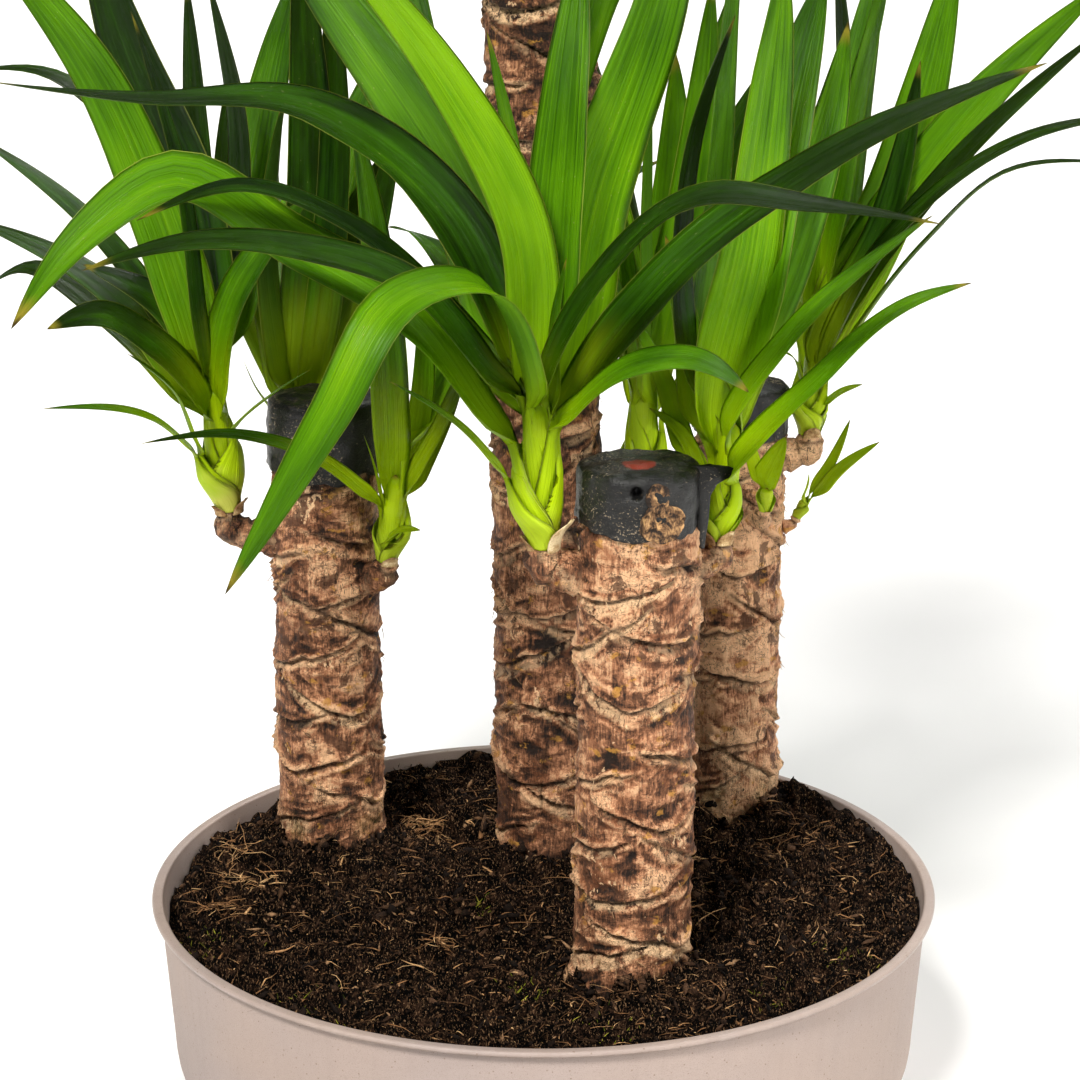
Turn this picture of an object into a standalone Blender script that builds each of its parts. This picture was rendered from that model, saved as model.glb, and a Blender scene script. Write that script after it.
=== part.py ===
"""Potted yucca: four cut canes with leafy shoots, in a shallow round pot of soil.

Metres, +Z up. The origin is the centre of the pot's flat base, and the front of the plant is toward -Y.
Leaf places are written in centimetres and leaf widths in millimetres.
"""

import math
import random
from typing import NamedTuple

import bmesh
import bpy
import numpy as np
from mathutils import Vector
from mathutils.bvhtree import BVHTree

CM = 0.01
MM = 0.001
GAP = 0.0003
GOLDEN_ANGLE = 137.5
RANDOM_SEED = 7


class Cane(NamedTuple):
    """A cane: places and heights in cm, radii in mm."""

    foot: tuple
    top: tuple
    foot_radius: float
    top_radius: float
    height: float
    skirt: float
    pitch: float


class Shoot(NamedTuple):
    """A leafy shoot: places and lengths in cm, its stem's radius in mm, bearings in degrees from +X."""

    cane: str
    base: tuple
    axis: tuple
    radius: float
    height: float
    drawn: tuple
    grown: int = 0
    bearing: float = 0
    spread: float = 0


class Leaf(NamedTuple):
    """A leaf: width in mm, degrees that its face turns to the front at its root and tip, places in cm."""

    width: float
    face_root: float
    face_tip: float
    places: tuple


# Pot, a turned bowl
POT_DIAMETER = 0.380
POT_HEIGHT = 0.112
POT_CORNER_RADIUS = 0.040
POT_WALL = 0.0025
POT_LIP_HEIGHT = 0.006
POT_LIP_REACH = 0.0042
POT_LIP_ROUND = 0.0030
POT_TAPER = math.radians(4.25)
POT_SIDES = 40
BOWL_ARC_STEPS = 3

# Soil
SOIL_DROP = 0.0115
SOIL_RISE_BACK_RIGHT = 0.0055
SOIL_RISE_RUN = 0.16
SOIL_MOUND = 0.0025
SOIL_MOUND_REACH = 0.045
SOIL_LUMP = 0.0018
SOIL_LUMP_WAVES = (71.0, 83.0, 127.0)
SOIL_RINGS = 5
HOLE_FLOOR = 0.050

# Canes and their bark
CANE_SIDES = 12
BARK_START = 0.113
SCAR_LIP = 0.0012
SCAR_GROOVE = 0.0008
SCAR_STEP = 0.0030
SCAR_WAVE = 0.0035
SCAR_TURN = 2.2
STUB_ELBOW = 0.85
STUB_SLOPE = 0.35
CAP_WALL = 0.0016
CAP_SEAT = 0.0006
CAP_WAVE = 0.0030
CAP_ROUND = 0.0030
CAP_SHOULDER = 0.0040
CAP_CROWN = 0.0042
CANE_SWELL = 0.0024
STUB_SIDES = 8
STUB_RADII = (1.0, 1.0, 0.9, 0.72)

# Foot and top of each cane's axis, foot and top radius, height of its cut top, depth of its wax, scar pitch
CANES = {
    "left": Cane((-10.9, 8.4), (-10.9, 8.4), 26.5, 26.0, 33.3, 3.5, 2.3),
    "tall": Cane((0.5, 8.0), (-0.4, 8.2), 27.5, 25.5, 66.5, 3.2, 2.9),
    "front": Cane((3.9, -7.8), (4.2, -7.8), 25.0, 25.7, 34.2, 2.5, 2.3),
    "right": Cane((9.85, 11.7), (10.0, 11.9), 23.0, 22.5, 33.0, 2.2, 2.3),
}

# Leaves
BLADE_THICKNESS = 0.0018
BLADE_SEGMENT = 0.072
ROOT_WIDTH = 0.28
ROOT_RUN = 0.026
ROOT_LOWEST = 0.18
ROOT_HIGHEST = 0.85
OPENING_SHARE = 0.3
TIP_START = 3.2
TIP_TAPER = 0.85
ROOT_CHANNEL = 0.34
BLADE_CHANNEL = 0.12
FOOT_SHARE = 0.28
SHOOT_CLEARANCE = 0.0011
SIBLING_CLEARANCE = 0.00055
MIN_ROWS = 5
BENT_LEAF_PLACES = 4
BENT_LEAF_ROWS = 2
STEM_SIDES = 6
STEM_RADII = (0.68, 1.0, 0.9, 0.8)
SOIL_GUARD = 0.090
FRONT_TO_BACK = (0.0, 1.0, 0.0)
NUDGES = (0, 3, -3, 6, -6, 9, -9, 12, -12, 16, -16, 20, -20, 25, -25)
SWINGS = (0, 3, -3, 6, -6, 10, -10)

# Each drawn leaf: its width, how far its face turns to the front at its root and at its tip, then the
# places that it passes through from its root to its tip
FRONT_LEFT = (
    (30, 15, 15, (-0.5, -10.5, 38), (-2.5, -13.5, 43.5), (-6, -17, 43.5), (-8.5, -19, 39.5),
     (-13, -19.5, 32)),
    (24, 40, 20, (-2, -10.5, 38.5), (-6, -12, 43.5), (-10, -13, 45), (-14.5, -14, 45.5), (-19, -15, 44.5)),
    (34, 25, 60, (-2, -9.5, 36), (-6, -10.5, 41.5), (-10.5, -12, 44.5), (-15, -14.5, 47.5),
     (-18, -16.5, 45.5), (-21, -18, 41.5)),
    (20, 30, 20, (-3, -8, 40), (-8.5, -9, 45.5), (-13, -11, 47.5), (-17, -13, 46.5)),
    (34, 62, -8, (-1, -8, 38.5), (-4.5, -7, 46), (-10, -7, 50), (-17.5, -8, 50.5), (-24, -9, 51.5)),
    (39, 78, 78, (-1, -7, 37.5), (-3, -4.5, 44.5), (-9.5, 0, 54), (-14, 3, 59)),
    (29, 75, 55, (-0.5, -8.5, 36.5), (-1, -9.5, 45.5), (-4, -10.5, 51.5), (-10.5, -11, 59.5)),
    (12, 45, 45, (-0.5, -6, 38.5), (-1.5, -4.5, 48.5), (-2.5, -4, 53)),
    (43, 82, 80, (0.5, -7.5, 37), (2, -5.5, 45.5), (5, -3.5, 54), (7, -1.5, 62)),
    (10, 60, 60, (0.5, -9, 37.5), (0.5, -9.5, 41), (1, -9.5, 44)),
    (20, 60, 15, (0, -10, 38), (2, -12, 43), (6.5, -14.5, 47.5), (11, -16.5, 47.5), (16, -18, 47)),
    (29, 42, 25, (1, -8, 36.5), (5, -8.5, 42.5), (12.5, -9.5, 48.5), (21, -11, 52.5)),
    (23, 38, 30, (1, -10.5, 37), (4, -12.5, 40), (6.5, -14, 40.5), (8.5, -15.5, 39.5)),
    (14, 35, 20, (-1.5, -9.5, 34), (-4, -12, 37.5), (-6.5, -13.5, 39.5)),
    (26, 60, 60, (0, -5, 36.5), (1.5, 0, 44), (1, 3, 50.5)),
)
FRONT_RIGHT = (
    (41, 85, 80, (7.5, -6, 35), (9, -5, 43.5), (10, -4, 51), (10.5, -3.5, 56.5)),
    (22, 42, 32, (8, -7, 35), (10.5, -8.5, 40), (16.5, -10.5, 46)),
    (26, 38, 28, (8, -7.5, 33), (12, -10.5, 39), (15.5, -12, 42.5), (18, -12.5, 43.5)),
    (12, 30, 30, (6.5, -5, 34), (5.5, -4, 37), (4, -2, 40)),
    (16, 40, 40, (7, -5, 35.5), (6.5, -3.5, 39.5), (5.5, -2, 43.5)),
    (11, 30, 30, (7, -6.5, 33), (6, -7, 35), (4.5, -7.5, 36)),
    (31, 50, 50, (8, -4.5, 35), (11, -1.5, 42.5), (13, 1, 48), (14, 3, 52.5)),
    (29, 65, 65, (7, -4, 35), (7.5, -2, 43), (8.5, 0.5, 53.5), (9, 2, 58.5)),
    (20, 60, 60, (7, -5, 36.5), (6.5, -3.5, 47.5), (8.5, -2.5, 53.5)),
)
BACK_MIDDLE = (
    (26, 60, 60, (4.5, 6.5, 33.5), (3.5, 5, 42.5), (1.5, 4, 49)),
    (24, 70, 70, (5, 5.5, 34), (5, 5, 44), (5, 5, 53)),
    (24, 60, 60, (5, 6, 34), (7, 6.5, 43.5), (8, 7.5, 54)),
    (24, 50, 50, (5, 9, 33), (3.5, 13.5, 43.5), (1, 15, 53)),
    (24, 50, 50, (5, 8, 32.5), (7.5, 13, 42.5), (9, 17, 49.5)),
    (14, 40, 40, (4.5, 5.5, 34), (4, 3.5, 38), (3, 2, 42)),
    (16, 40, 40, (5.5, 6, 32.5), (7, 5, 36), (8, 3, 39.5)),
    (26, 60, 60, (5.4, 6.4, 37), (6.2, 6, 44), (6.3, 5.5, 50.5)),
    (24, 55, 55, (5.2, 7.5, 37), (7.5, 9, 46), (9.5, 11, 54)),
    (22, 50, 50, (4.6, 6, 37), (3.4, 4.5, 41), (2.4, 3, 46)),
)
LEFT_OUTER = (
    (12, 20, 10, (-16.5, 7, 30), (-19, 5.5, 33), (-24, 3.5, 34)),
    (28, 42, 48, (-16.5, 7, 33), (-19, 5, 37), (-21, 4, 38.5), (-23.5, 3, 38)),
    (16, 25, 25, (-17, 6.5, 31.5), (-18, 5.5, 34.5), (-20, 4.5, 36.5)),
    (22, 45, 45, (-16.5, 8, 34.5), (-18.5, 8, 38), (-22.5, 8.5, 40)),
    (31, 74, 74, (-16.5, 8, 34), (-18.5, 8, 42), (-21.5, 8, 49.5), (-27, 8, 56.5)),
    (44, 82, 82, (-16.5, 9, 33), (-17.5, 10, 43), (-20.5, 11, 51), (-22.5, 12, 57.5)),
    (14, 50, 50, (-16.5, 7.5, 34.5), (-17.5, 7, 45), (-19.5, 7, 52.5)),
    (32, 60, 60, (-16, 7.5, 33), (-15, 6.5, 38.5), (-11, 5.5, 44)),
    (22, 50, 50, (-16.5, 10, 34), (-17, 12, 43.5), (-17.5, 13, 53.5)),
    (20, 45, 45, (-16, 10, 34), (-15, 12, 46), (-16.5, 13, 53.5)),
    (10, 25, 20, (-15, 6, 32.5), (-13, 4.5, 34.5), (-11, 3.5, 36)),
    (20, 30, 30, (-17.5, 9, 33), (-21.5, 11, 38), (-29, 13, 41.5)),
    (20, 30, 30, (-17.5, 10, 32.5), (-22, 13, 36.5), (-26.5, 15, 38.5), (-29, 16, 37)),
    (16, 25, 25, (-17, 9, 33.5), (-21.5, 11, 40.5), (-28.5, 14, 45.5)),
    (16, 25, 25, (-17, 10, 34.5), (-21, 13, 46), (-24.5, 14, 48.5), (-29, 15, 48.5)),
)
LEFT_INNER = (
    (9, 30, 30, (-7.6, 5.2, 27), (-7, 5, 27.5), (-6, 5, 27.5)),
    (13, 35, 10, (-8.5, 5, 29), (-10.5, 4.5, 31), (-14.5, 4.2, 32.5), (-19.5, 4.5, 32)),
    (6, 40, 40, (-8, 6, 29), (-8.3, 5, 31), (-8.7, 4.5, 32.5)),
    (29, 85, 85, (-7.6, 6.6, 29), (-7.6, 6.5, 34.5), (-8, 7.5, 41), (-9, 8.5, 48)),
    (14, 40, 40, (-7, 7.5, 28.5), (-6, 8.5, 33.5), (-6, 10, 39.5)),
    (16, 45, 45, (-7, 6.5, 28.5), (-5, 6, 32.5), (-2.5, 4.5, 39)),
    (18, 45, 45, (-7.2, 8, 28), (-5, 11, 32.5), (-3.5, 13, 36.5)),
    (20, 60, 60, (-7.4, 8, 28.5), (-7.5, 10, 37), (-9.5, 11, 46.5)),
)
LEFT_BACK = (
    (20, 50, 50, (-13, 12.4, 31.5), (-14, 12, 37.5), (-15, 12.5, 42)),
    (25, 78, 78, (-12.8, 12, 32), (-13.5, 11, 41.5), (-14, 11.5, 49.5), (-13, 12.5, 55.5)),
    (28, 82, 82, (-12.5, 12.2, 32), (-11.5, 12, 43), (-12, 12.5, 56.5)),
    (20, 60, 60, (-12, 12, 32), (-10.5, 11.5, 41.5), (-10.5, 13, 56)),
    (20, 55, 55, (-12, 12.5, 31.5), (-9, 12, 39), (-7, 13, 47.5)),
    (20, 40, 40, (-13, 13.5, 31.5), (-16, 17, 38.5), (-16, 19, 48.5)),
    (9, 30, 30, (-13.5, 11.5, 31.5), (-14.5, 10.5, 33.5), (-15, 10, 35)),
    (24, 60, 60, (-12.4, 11.8, 33), (-10.5, 10.5, 39), (-7.5, 9.5, 45)),
    (24, 60, 60, (-13, 11.8, 33), (-13.6, 10.6, 40), (-12.6, 10, 48)),
)
RIGHT = (
    (8, 30, 30, (14, 11.5, 32), (15, 11, 33), (16, 10.5, 33.5)),
    (34, 74, 74, (13.6, 11.5, 34), (14.5, 12, 42), (17, 13.5, 55.5)),
    (24, 65, 65, (13.5, 12.5, 34), (15, 13.5, 42.5), (14.5, 14, 56)),
    (34, 78, 78, (13.8, 12, 34), (17.5, 13, 43), (20.5, 14.5, 55)),
    (28, 64, 64, (13.8, 11.5, 34), (19, 11.5, 44.5), (27.5, 11.5, 53.5)),
    (18, 40, 40, (13.8, 10.8, 34), (19, 9.5, 43.5), (27, 9, 51.5)),
    (20, 35, 20, (13.8, 10.8, 33.5), (18, 9, 42.5), (23, 8, 46.5), (28.5, 7, 48)),
    (16, 20, 5, (14, 10, 33.5), (18.5, 7, 41.5), (22, 6, 45), (27.5, 5, 45.5)),
    (20, 45, 45, (13.8, 11, 33.5), (15.5, 10.5, 38), (20, 9, 43.5)),
    (20, 60, 60, (13.6, 11, 34), (17, 11, 42), (18.5, 12, 49.5)),
    (7, 30, 30, (13, 11, 33.5), (12.4, 10.2, 35), (11.4, 9.5, 35.5)),
    (22, 50, 50, (13.4, 13, 33), (13, 16, 39), (14, 20, 49)),
)
RIGHT_FRONT_SHOOT = (
    (18, 80, 80, (11, 8.3, 28.8), (11.4, 8, 30), (12, 7.8, 31.5)),
    (9, 50, 50, (10.8, 8.5, 29), (10.4, 8.5, 30.2), (10.2, 8.4, 31.8)),
)
RIGHT_SIDE_SHOOT = (
    (7, 60, 60, (13.4, 11.4, 27.3), (14.5, 11.4, 29), (15.5, 11.3, 31.5)),
    (8, 60, 60, (13.5, 11.2, 27), (15, 11, 29), (17, 11, 30.5)),
    (5, 40, 40, (13.2, 11.2, 27.4), (13.4, 10.8, 28.2), (13.4, 10.4, 28.9)),
)
TOP_LEFT = (
    (28, 40, 80, (-5, 5.5, 64), (-6.8, 3.5, 60), (-5.6, 3, 53), (-3.8, 3.2, 48)),
)
TOP_RIGHT = (
    (30, 40, 80, (4, 5.5, 65.5), (5.2, 3, 60.5), (2.6, 2.2, 53.5), (1.6, 2.6, 48)),
)

# Cane, base, stem axis, stem radius and height, drawn leaves, then how many leaves the growth rule adds, the
# middle of their bearings and half their spread
SHOOTS = {
    "crown_front_left": Shoot("front", (0.0, -8.5, 30.8), (-0.05, -0.1, 1), 9.5, 7.0, FRONT_LEFT, 2, 110, 40),
    "crown_front_right": Shoot("front", (7.9, -6.2, 30.4), (0.1, 0.0, 1), 8.0, 5.5, FRONT_RIGHT, 2, 75, 20),
    "crown_back_middle": Shoot("tall", (4.9, 6.6, 28.0), (0.0, -0.05, 1), 9.5, 9.0, BACK_MIDDLE, 2, 85, 50),
    "crown_left_outer": Shoot("left", (-15.7, 8.3, 27.6), (-0.1, 0.0, 1), 9.0, 6.5, LEFT_OUTER, 2, 105, 45),
    "crown_left_inner": Shoot("left", (-7.8, 6.5, 25.5), (0.12, -0.05, 1), 7.5, 4.5, LEFT_INNER, 1, 60, 20),
    "crown_left_back": Shoot("left", (-12.8, 12.4, 28.4), (0.0, 0.05, 1), 8.0, 4.5, LEFT_BACK, 2, 95, 50),
    "crown_right": Shoot("right", (13.5, 11.8, 30.6), (0.05, 0.0, 1), 8.0, 5.0, RIGHT, 2, 90, 35),
    "shoot_right_front": Shoot("right", (11.1, 8.5, 27.5), (0.05, -0.1, 1), 4.5, 1.2, RIGHT_FRONT_SHOOT),
    "shoot_right_side": Shoot("right", (12.9, 11.5, 26.3), (0.5, 0.0, 1), 3.5, 1.0, RIGHT_SIDE_SHOOT),
    "crown_top_right": Shoot("tall", (3.6, 7.2, 61.0), (0.25, -0.1, 1), 9.0, 6.0, TOP_RIGHT, 10, -10, 120),
    "crown_top_left": Shoot("tall", (-4.2, 7.0, 59.0), (-0.25, -0.1, 1), 9.0, 6.0, TOP_LEFT, 10, 200, 115),
    "crown_top_back": Shoot("tall", (-0.2, 12.3, 60.0), (0.0, 0.25, 1), 9.0, 6.0, (), 8, 90, 80),
}

# The growth rule's leaf sizes
RULE_LENGTH = (0.20, 0.30)
RULE_TOP_LENGTH = (0.28, 0.40)
RULE_TOP_HEIGHT = 50
RULE_WIDTH = (26, 36)
RULE_RISE = (82, 38)
RULE_DROOP = (18, 95)
RULE_SCATTER = 6
RULE_TWIST_ROOT = 12
RULE_TWIST_TIP = 25
RULE_STEPS = 4

# Colour and roughness of each material
FINISHES = {
    "pot_plastic": ((0.50, 0.42, 0.37), 0.45),
    "peat": ((0.030, 0.020, 0.015), 0.95),
    "bark": ((0.22, 0.13, 0.075), 0.85),
    "wax": ((0.012, 0.012, 0.013), 0.45),
    "leaf": ((0.055, 0.190, 0.022), 0.38),
}


def clear_scene():
    """Remove every object that the file opened with."""
    for thing in list(bpy.data.objects):
        bpy.data.objects.remove(thing, do_unlink=True)


def material(name):
    """A Principled material with its colour and roughness."""
    colour, roughness = FINISHES[name]
    made = bpy.data.materials.new(name)
    made.use_nodes = True
    shader = made.node_tree.nodes["Principled BSDF"]
    shader.inputs["Base Color"].default_value = (*colour, 1.0)
    shader.inputs["Roughness"].default_value = roughness
    shader.inputs["Metallic"].default_value = 0.0
    return made


def solid(name, points, faces, made_of=None):
    """A mesh object with its faces pointing out, linked to the scene."""
    mesh = bpy.data.meshes.new(name)
    mesh.from_pydata([tuple(float(v) for v in p) for p in points], [], faces)
    form = bmesh.new()
    form.from_mesh(mesh)
    bmesh.ops.recalc_face_normals(form, faces=form.faces)
    form.to_mesh(mesh)
    form.free()
    thing = bpy.data.objects.new(name, mesh)
    bpy.context.scene.collection.objects.link(thing)
    if made_of:
        mesh.materials.append(made_of)
    return thing


def stacked_rings(rings):
    """Points and faces of a closed skin over rings of equal count, with a flat face at each end."""
    sides = len(rings[0])
    points = [p for ring in rings for p in ring]
    faces = []
    for row in range(len(rings) - 1):
        low = row * sides
        high = low + sides
        for i in range(sides):
            j = (i + 1) % sides
            faces.append((low + i, low + j, high + j, high + i))
    last = (len(rings) - 1) * sides
    faces.append(tuple(range(sides))[::-1])
    faces.append(tuple(range(last, last + sides)))
    return points, faces


def keep_main_body(thing):
    """Drop the loose scraps and sealed hollows that a union leaves, keeping the body with the most points."""
    form = bmesh.new()
    form.from_mesh(thing.data)
    bodies = []
    unseen = set(form.verts)
    while unseen:
        start = unseen.pop()
        body = [start]
        for point in body:
            near = {edge.other_vert(point) for edge in point.link_edges} & unseen
            unseen -= near
            body.extend(near)
        bodies.append(body)
    bodies.sort(key=len)
    for body in bodies[:-1]:
        bmesh.ops.delete(form, geom=body, context="VERTS")
    form.to_mesh(thing.data)
    form.free()


def split_faces(thing):
    """Split every face of a solid into triangles."""
    form = bmesh.new()
    form.from_mesh(thing.data)
    bmesh.ops.triangulate(form, faces=form.faces)
    form.to_mesh(thing.data)
    form.free()


def fuse(base, others):
    """Join solids into the base object with one Boolean union, then remove them.

    The exact solver leaves open edges where thin blades meet, so the manifold solver joins them.
    """
    for thing in (base, *others):
        split_faces(thing)
    group = bpy.data.collections.new(base.name + "_parts")
    bpy.context.scene.collection.children.link(group)
    for other in others:
        group.objects.link(other)
    union = base.modifiers.new("join", "BOOLEAN")
    union.operation = "UNION"
    union.solver = "MANIFOLD"
    union.operand_type = "COLLECTION"
    union.collection = group
    bake(base)
    keep_main_body(base)
    for other in others:
        bpy.data.objects.remove(other, do_unlink=True)
    bpy.data.collections.remove(group)


def bake(thing):
    """Replace an object's mesh by what its modifiers make of it."""
    bpy.context.view_layer.update()
    graph = bpy.context.evaluated_depsgraph_get()
    mesh = bpy.data.meshes.new_from_object(thing.evaluated_get(graph), depsgraph=graph)
    thing.modifiers.clear()
    thing.data = mesh


def smooth_rounds(thing, angle):
    """Shade smooth, keeping edges sharper than the angle."""
    thing.data.shade_smooth()
    thing.data.set_sharp_from_angle(angle=math.radians(angle))


# Pot and soil


def pot_wall_radius(height):
    """Outer radius of the straight tapered wall at a height."""
    under_lip = POT_DIAMETER / 2 - POT_LIP_REACH
    return under_lip - (POT_HEIGHT - POT_LIP_HEIGHT - height) * math.tan(POT_TAPER)


def bowl_profile(inset):
    """Radius and height pairs of the bowl's rounded corner, from its flat base up to its straight wall."""
    corner = POT_CORNER_RADIUS
    centre = pot_wall_radius(corner) - corner
    arc = corner - inset
    profile = []
    for step in range(BOWL_ARC_STEPS + 1):
        turn = (math.pi / 2 - POT_TAPER) * step / BOWL_ARC_STEPS - math.pi / 2
        profile.append((centre + arc * math.cos(turn), corner + arc * math.sin(turn)))
    return profile


def turned(profile, sides):
    """Rings of a profile turned round Z."""
    rings = []
    for radius, height in profile:
        ring = [
            (radius * math.cos(2 * math.pi * i / sides), radius * math.sin(2 * math.pi * i / sides), height)
            for i in range(sides)
        ]
        rings.append(ring)
    return rings


def make_pot():
    """A thin bowl with a small rounded lip."""
    lip = POT_DIAMETER / 2
    foot = POT_HEIGHT - POT_LIP_HEIGHT
    outer = bowl_profile(0.0) + [(pot_wall_radius(foot), foot)]
    rim = [
        (lip - POT_LIP_ROUND / 4, foot + POT_LIP_ROUND / 3),
        (lip, foot + POT_LIP_ROUND),
        (lip - POT_LIP_ROUND * 0.4, POT_HEIGHT - POT_LIP_ROUND * 0.15),
        (lip - POT_LIP_ROUND * 1.1, POT_HEIGHT),
        (pot_wall_radius(foot) - POT_WALL, POT_HEIGHT - POT_LIP_ROUND),
    ]
    inner = bowl_profile(POT_WALL)[::-1]
    points, faces = stacked_rings(turned(outer + rim + inner, POT_SIDES))
    pot = solid("pot", points, faces, material("pot_plastic"))
    smooth_rounds(pot, 35)


def cane_centre(cane, height):
    """Centre of a cane's leaning axis at a height."""
    share = (height - HOLE_FLOOR) / (cane.height * CM - HOLE_FLOOR)
    return tuple((a + (b - a) * share) * CM for a, b in zip(cane.foot, cane.top))


def soil_height(x, y):
    """Height of the soil: level, fuller at the back right, mounded at the canes and lumpy."""
    height = POT_HEIGHT - SOIL_DROP
    height += SOIL_RISE_BACK_RIGHT * max(0.0, min(1.0, (x + 0.6 * y) / SOIL_RISE_RUN))
    for cane in CANES.values():
        centre = cane_centre(cane, POT_HEIGHT)
        apart = math.hypot(x - centre[0], y - centre[1])
        height += SOIL_MOUND * math.exp(-((apart / SOIL_MOUND_REACH) ** 2))
    along, across, slant = SOIL_LUMP_WAVES
    lumps = math.sin(along * x + 1.3) * math.cos(across * y) + 0.7 * math.sin(slant * x - along * y)
    return height + SOIL_LUMP * lumps


def cane_ring(cane, height, radius, wave=0.0, phase=0.0):
    """One ring round a cane's axis, its height waved twice or more round the cane."""
    ring = []
    for i in range(CANE_SIDES):
        angle = 2 * math.pi * i / CANE_SIDES
        level = height + wave * math.sin(2 * angle + phase) + 0.4 * wave * math.sin(3 * angle - phase)
        x, y = cane_centre(cane, level)
        ring.append((x + radius * math.cos(angle), y + radius * math.sin(angle), level))
    return ring


def make_soil():
    """Soil that fills the bowl, with a plain hole for each cane."""
    sides = POT_SIDES
    edge = POT_HEIGHT - SOIL_DROP
    reach = pot_wall_radius(edge) - POT_WALL - 2 * GAP
    rings = turned(bowl_profile(POT_WALL + 2 * GAP), sides)
    for row in range(SOIL_RINGS):
        share = 1.0 - row / SOIL_RINGS
        ring = []
        for i in range(sides):
            angle = 2 * math.pi * i / sides
            x = reach * share * math.cos(angle)
            y = reach * share * math.sin(angle)
            ring.append((x, y, soil_height(x, y)))
        rings.append(ring)
    points, faces = stacked_rings(rings)
    top = faces.pop()
    faces.extend((top[i], top[(i + 1) % sides], len(points)) for i in range(sides))
    points.append((0.0, 0.0, soil_height(0.0, 0.0)))
    soil = solid("soil", points, faces, material("peat"))
    for name, cane in CANES.items():
        radius = cane.foot_radius * MM + GAP
        rings = [cane_ring(cane, HOLE_FLOOR, radius), cane_ring(cane, 1.5 * POT_HEIGHT, radius)]
        cutter = solid("hole_" + name, *stacked_rings(rings))
        hole = soil.modifiers.new("hole_" + name, "BOOLEAN")
        hole.operation = "DIFFERENCE"
        hole.object = cutter
        cutter.display_type = "WIRE"
        cutter.hide_render = True
    bake(soil)
    for name in CANES:
        bpy.data.objects.remove(bpy.data.objects["hole_" + name], do_unlink=True)


# Canes and their wax caps


def cap_hem(cane):
    """Height of a cane's wax cap's hem, before it waves."""
    return (cane.height - cane.skirt) * CM


def cane_radius(cane, height):
    """Radius of a cane's wood at a height."""
    share = (height - HOLE_FLOOR) / (cane.height * CM - HOLE_FLOOR)
    return (cane.foot_radius + (cane.top_radius - cane.foot_radius) * share) * MM


def tube(name, path, radii, sides, made_of=None):
    """A closed tube along a path of places."""
    path = [Vector(p) for p in path]
    rings = []
    for i, place in enumerate(path):
        along = (path[min(i + 1, len(path) - 1)] - path[max(i - 1, 0)]).normalized()
        across = along.cross(Vector((0.23, 1.0, 0.11))).normalized()
        other = along.cross(across).normalized()
        ring = []
        for k in range(sides):
            angle = 2 * math.pi * k / sides
            ring.append(tuple(place + radii[i] * (math.cos(angle) * across + math.sin(angle) * other)))
        rings.append(ring)
    return solid(name, *stacked_rings(rings), made_of)


def make_stub(name, shoot):
    """The short bark stub that carries a shoot, from inside its cane to just under the shoot's base."""
    cane = CANES[shoot.cane]
    base = Vector(shoot.base) * CM
    axis = Vector(shoot.axis).normalized()
    radius = shoot.radius * MM
    end = base - axis * GAP
    elbow = base - axis * (radius * STUB_ELBOW)
    x, y = cane_centre(cane, base.z)
    reach = math.hypot(base.x - x, base.y - y)
    start_height = elbow.z - reach * STUB_SLOPE
    start = Vector((*cane_centre(cane, start_height), start_height))
    path = [start, start.lerp(elbow, 0.6), elbow, end]
    return tube("stub_" + name, path, [radius * share for share in STUB_RADII], STUB_SIDES)


def make_cane(name, bark):
    """A cane with overlapping leaf scars as relief, plain in the soil and under its cap."""
    cane = CANES[name]
    hem = cap_hem(cane) - CAP_WAVE
    top = cane.height * CM
    pitch = cane.pitch * CM
    rings = [cane_ring(cane, HOLE_FLOOR + GAP, cane_radius(cane, HOLE_FLOOR))]
    rings.append(cane_ring(cane, BARK_START, cane.foot_radius * MM))
    height = BARK_START + pitch * 0.6
    phase = 0.7 * cane.foot_radius
    while height + SCAR_STEP + 2 * SCAR_WAVE < hem:
        radius = cane_radius(cane, height)
        rings.append(cane_ring(cane, height, radius + SCAR_LIP, SCAR_WAVE, phase))
        rings.append(cane_ring(cane, height + SCAR_STEP, radius - SCAR_GROOVE, SCAR_WAVE, phase))
        phase += SCAR_TURN
        height += pitch
    rings.append(cane_ring(cane, hem, cane_radius(cane, hem) - CAP_SEAT))
    rings.append(cane_ring(cane, top, cane_radius(cane, top) - CAP_SEAT))
    wood = solid("cane_" + name, *stacked_rings(rings), bark)
    stubs = [make_stub(key, shoot) for key, shoot in SHOOTS.items() if shoot.cane == name]
    fuse(wood, stubs)
    smooth_rounds(wood, 50)


def make_cap(name, wax):
    """A wax cup over a cane's cut end, with a waved hem."""
    cane = CANES[name]
    top = cane.height * CM
    hem = cap_hem(cane)
    inner = max(cane_radius(cane, top), cane_radius(cane, hem)) + GAP
    outer = inner + CAP_WALL
    phase = 0.4 * cane.skirt
    rings = [
        cane_ring(cane, top + GAP, inner * 0.5),
        cane_ring(cane, top + GAP, inner - CAP_SEAT),
        cane_ring(cane, hem, inner - CAP_SEAT, CAP_WAVE, phase),
        cane_ring(cane, hem, outer, CAP_WAVE, phase),
        cane_ring(cane, top + CAP_ROUND - CAP_SHOULDER, outer),
        cane_ring(cane, top + CAP_ROUND, outer - CAP_ROUND),
        cane_ring(cane, top + CAP_CROWN, outer * 0.5),
    ]
    cap = solid("cap_" + name, *stacked_rings(rings), wax)
    smooth_rounds(cap, 40)


# Leaves


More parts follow.
